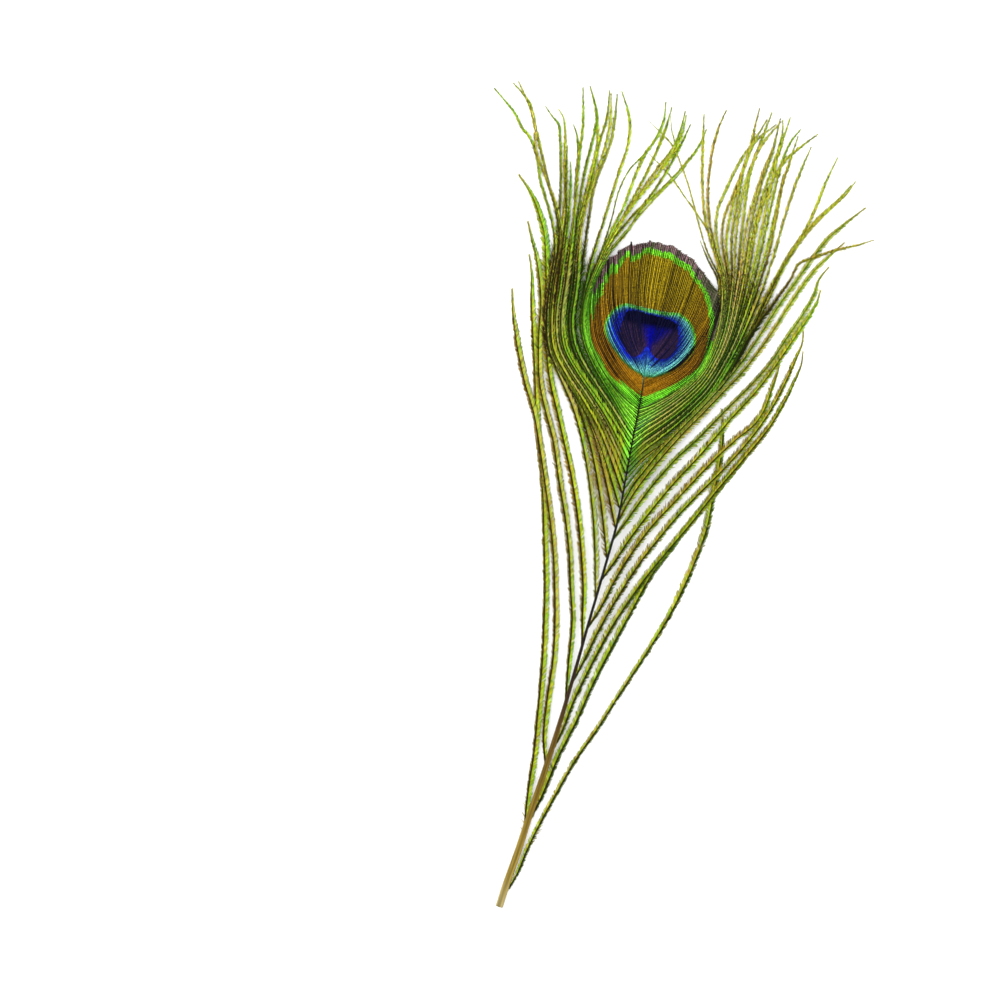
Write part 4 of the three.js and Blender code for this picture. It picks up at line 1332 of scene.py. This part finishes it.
for share, over in (
    (value["vivid"], linear("#8AEC3A")),
    (value["mint"], linear("#8CE8A0")),
    (value["rosy"], linear("#B08C6C")),
    (shade, depth.outputs[0]),
    (value["bare"], linear("#A39A5A")),
):
    colour = add_node(tree, "ShaderNodeMix", {"data_type": "RGBA"}, {
        0: share, 6: colour, 7: over,
    }).outputs[2]
finish_barbules(tree, colour, value["tone_and_painted_glint"], 0.12, 1.3)

# %% Barbules of the eye: the place of a blue barbule, and its dark root
eye_colours, tree, value = new_material(
    "barbules_eye", "ring", "rim", "lime", "line", "band", "night", "warm", "root", "main",
    "mauve", "reach", "tone_and_painted_glint",
)
near_ramus = add_node(tree, "ShaderNodeMapRange", inputs={
    0: value["reach"], 1: 0.1, 2: 0.5, 3: 1.0, 4: 0.0,
})
line_depth = add_node(tree, "ShaderNodeMath", {"operation": "MULTIPLY"}, {
    0: value["line"], 1: near_ramus.outputs[0],
})
ring = add_node(tree, "ShaderNodeMath", {"operation": "SUBTRACT"}, {
    0: value["ring"], 1: line_depth.outputs[0],
})
past_root = add_node(tree, "ShaderNodeMapRange", inputs={0: value["reach"], 1: 0.17, 2: 0.6})
shade = add_node(tree, "ShaderNodeMix", inputs={
    0: past_root.outputs[0], 2: value["root"], 3: value["main"],
})

# %% Barbules of the eye: rings of colour from the pupil out to the fringe
blues = add_node(tree, "ShaderNodeValToRGB", inputs={0: ring.outputs[0]}, stops=[
    (0.15, "#1426C8"), (0.19, "#1C38AC"), (0.25, "#2A5492"), (0.33, "#4688A0"), (0.42, "#74D0C0"),
    (0.46, "#60C898"),
])
greens = add_node(tree, "ShaderNodeValToRGB", inputs={0: ring.outputs[0]}, stops=[
    (0.75, "#7A8A1E"), (0.762, "#7ED830"), (0.83, "#74E02C"),
])
blend = {}
for name, key, low, high in (
    ("purple", "mauve", "#281C46", "#3A2836"), ("bronze", "warm", "#9C8618", "#9C6C14"),
    ("fringe", "mauve", "#485A30", "#9C7480"), ("rim", "lime", "#245E18", "#6CD83C"),
):
    blend[name] = add_node(tree, "ShaderNodeMix", {"data_type": "RGBA"}, {
        0: value[key], 6: linear(low), 7: linear(high),
    }).outputs[2]
past = [
    add_node(tree, "ShaderNodeMapRange", inputs={0: value["ring"], 1: low, 2: high}).outputs[0]
    for low, high in ((0.148, 0.155), (0.46, 0.468), (0.748, 0.756), (0.838, 0.85))
]
colour = blend["purple"]
for share, over in (
    (value["band"], linear("#080A7C")),
    (value["night"], linear("#040314")),
    (past[0], blues.outputs[0]),
    (past[1], blend["bronze"]),
    (value["rim"], blend["rim"]),
    (past[2], greens.outputs[0]),
    (past[3], blend["fringe"]),
):
    colour = add_node(tree, "ShaderNodeMix", {"data_type": "RGBA"}, {
        0: share, 6: colour, 7: over,
    }).outputs[2]
shaded = add_node(tree, "ShaderNodeMix", {"data_type": "RGBA", "blend_type": "MULTIPLY"}, {
    0: shade.outputs[0], 6: colour, 7: linear("#2A2A2A"),
})
finish_barbules(tree, shaded.outputs[2], value["tone_and_painted_glint"], 0.3, 1.2)

# %% Dress the pieces and tie them to the frame
for material, slot, pieces in (
    (shaft_keratin, "shaft", [shaft]),
    (ramus_keratin, "barbs", [loose_rami, plume_rami]),
    (ramus_keratin, "eye", [eye_rami]),
    (green_gold, "barbs", [loose_barbules, plume_barbules_left, plume_barbules_right]),
    (eye_colours, "eye", [eye_barbules_left, eye_barbules_right]),
):
    for piece in pieces:
        piece.data.materials.append(material)
        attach(piece, "root")
        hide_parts("feather")
    print(material.name, "is on", [piece.name for piece in pieces])

# %% [markdown]
# ## Table, light and camera
# A white laminate table in a bright room gives faint shadows, and a wide soft lamp from
# one side brings out the barbs. A small lamp would give hard ones. The camera looks
# straight down from a metre, turned so that the feather leans to the right.

# %% Table
TABLE_HALF = 1.5
corners = [(-TABLE_HALF, -TABLE_HALF, 0), (TABLE_HALF, -TABLE_HALF, 0),
           (TABLE_HALF, TABLE_HALF, 0), (-TABLE_HALF, TABLE_HALF, 0)]
table_mesh = bpy.data.meshes.new("table_top")
table_mesh.from_pydata(corners, [], [(0, 1, 2, 3)])
table_top = bpy.data.objects.new("table_top", table_mesh)
bpy.context.scene.collection.objects.link(table_top)
white_laminate, tree, value = new_material("white_laminate")
finish_material(tree, linear("#F4F4F4"), 0.8, 0.0, ior=1.45)
table_mesh.materials.append(white_laminate)

# %% Light
ROOM_BRIGHTNESS = 1.55
LAMP_SIZE = 0.8
LAMP_WATTS = 3
LAMP_PLACE = (-0.35, 0.35, 0.75)
FEATHER_MIDDLE = (0, 0.11, 0)
world = bpy.data.worlds.new("soft_room")
world.use_nodes = True
background = world.node_tree.nodes["Background"]
background.inputs[0].default_value = (1, 1, 1, 1)
background.inputs[1].default_value = ROOM_BRIGHTNESS
bpy.context.scene.world = world

lamp_data = bpy.data.lights.new("soft_box", "AREA")
lamp_data.shape = "DISK"
lamp_data.size = LAMP_SIZE
lamp_data.energy = LAMP_WATTS
lamp = bpy.data.objects.new("soft_box", lamp_data)
lamp.location = LAMP_PLACE
to_feather = Vector(FEATHER_MIDDLE) - lamp.location
lamp.rotation_euler = to_feather.to_track_quat("-Z", "Y").to_euler()
bpy.context.scene.collection.objects.link(lamp)
bpy.context.scene.view_settings.view_transform = "Standard"

# %% Camera
FRAME_SIDE = 0.3         # metres of table that the square picture covers
CAMERA_PLACE = (-0.0319, 0.1098, 1.0)
CAMERA_TURN = 15
SENSOR = 36
camera_data = bpy.data.cameras.new("camera")
camera_data.sensor_width = SENSOR
camera_data.lens = SENSOR * CAMERA_PLACE[2] / FRAME_SIDE
camera = bpy.data.objects.new("camera", camera_data)
camera.location = CAMERA_PLACE
camera.rotation_euler = (0, 0, math.radians(CAMERA_TURN))
bpy.context.scene.collection.objects.link(camera)
bpy.context.scene.camera = camera
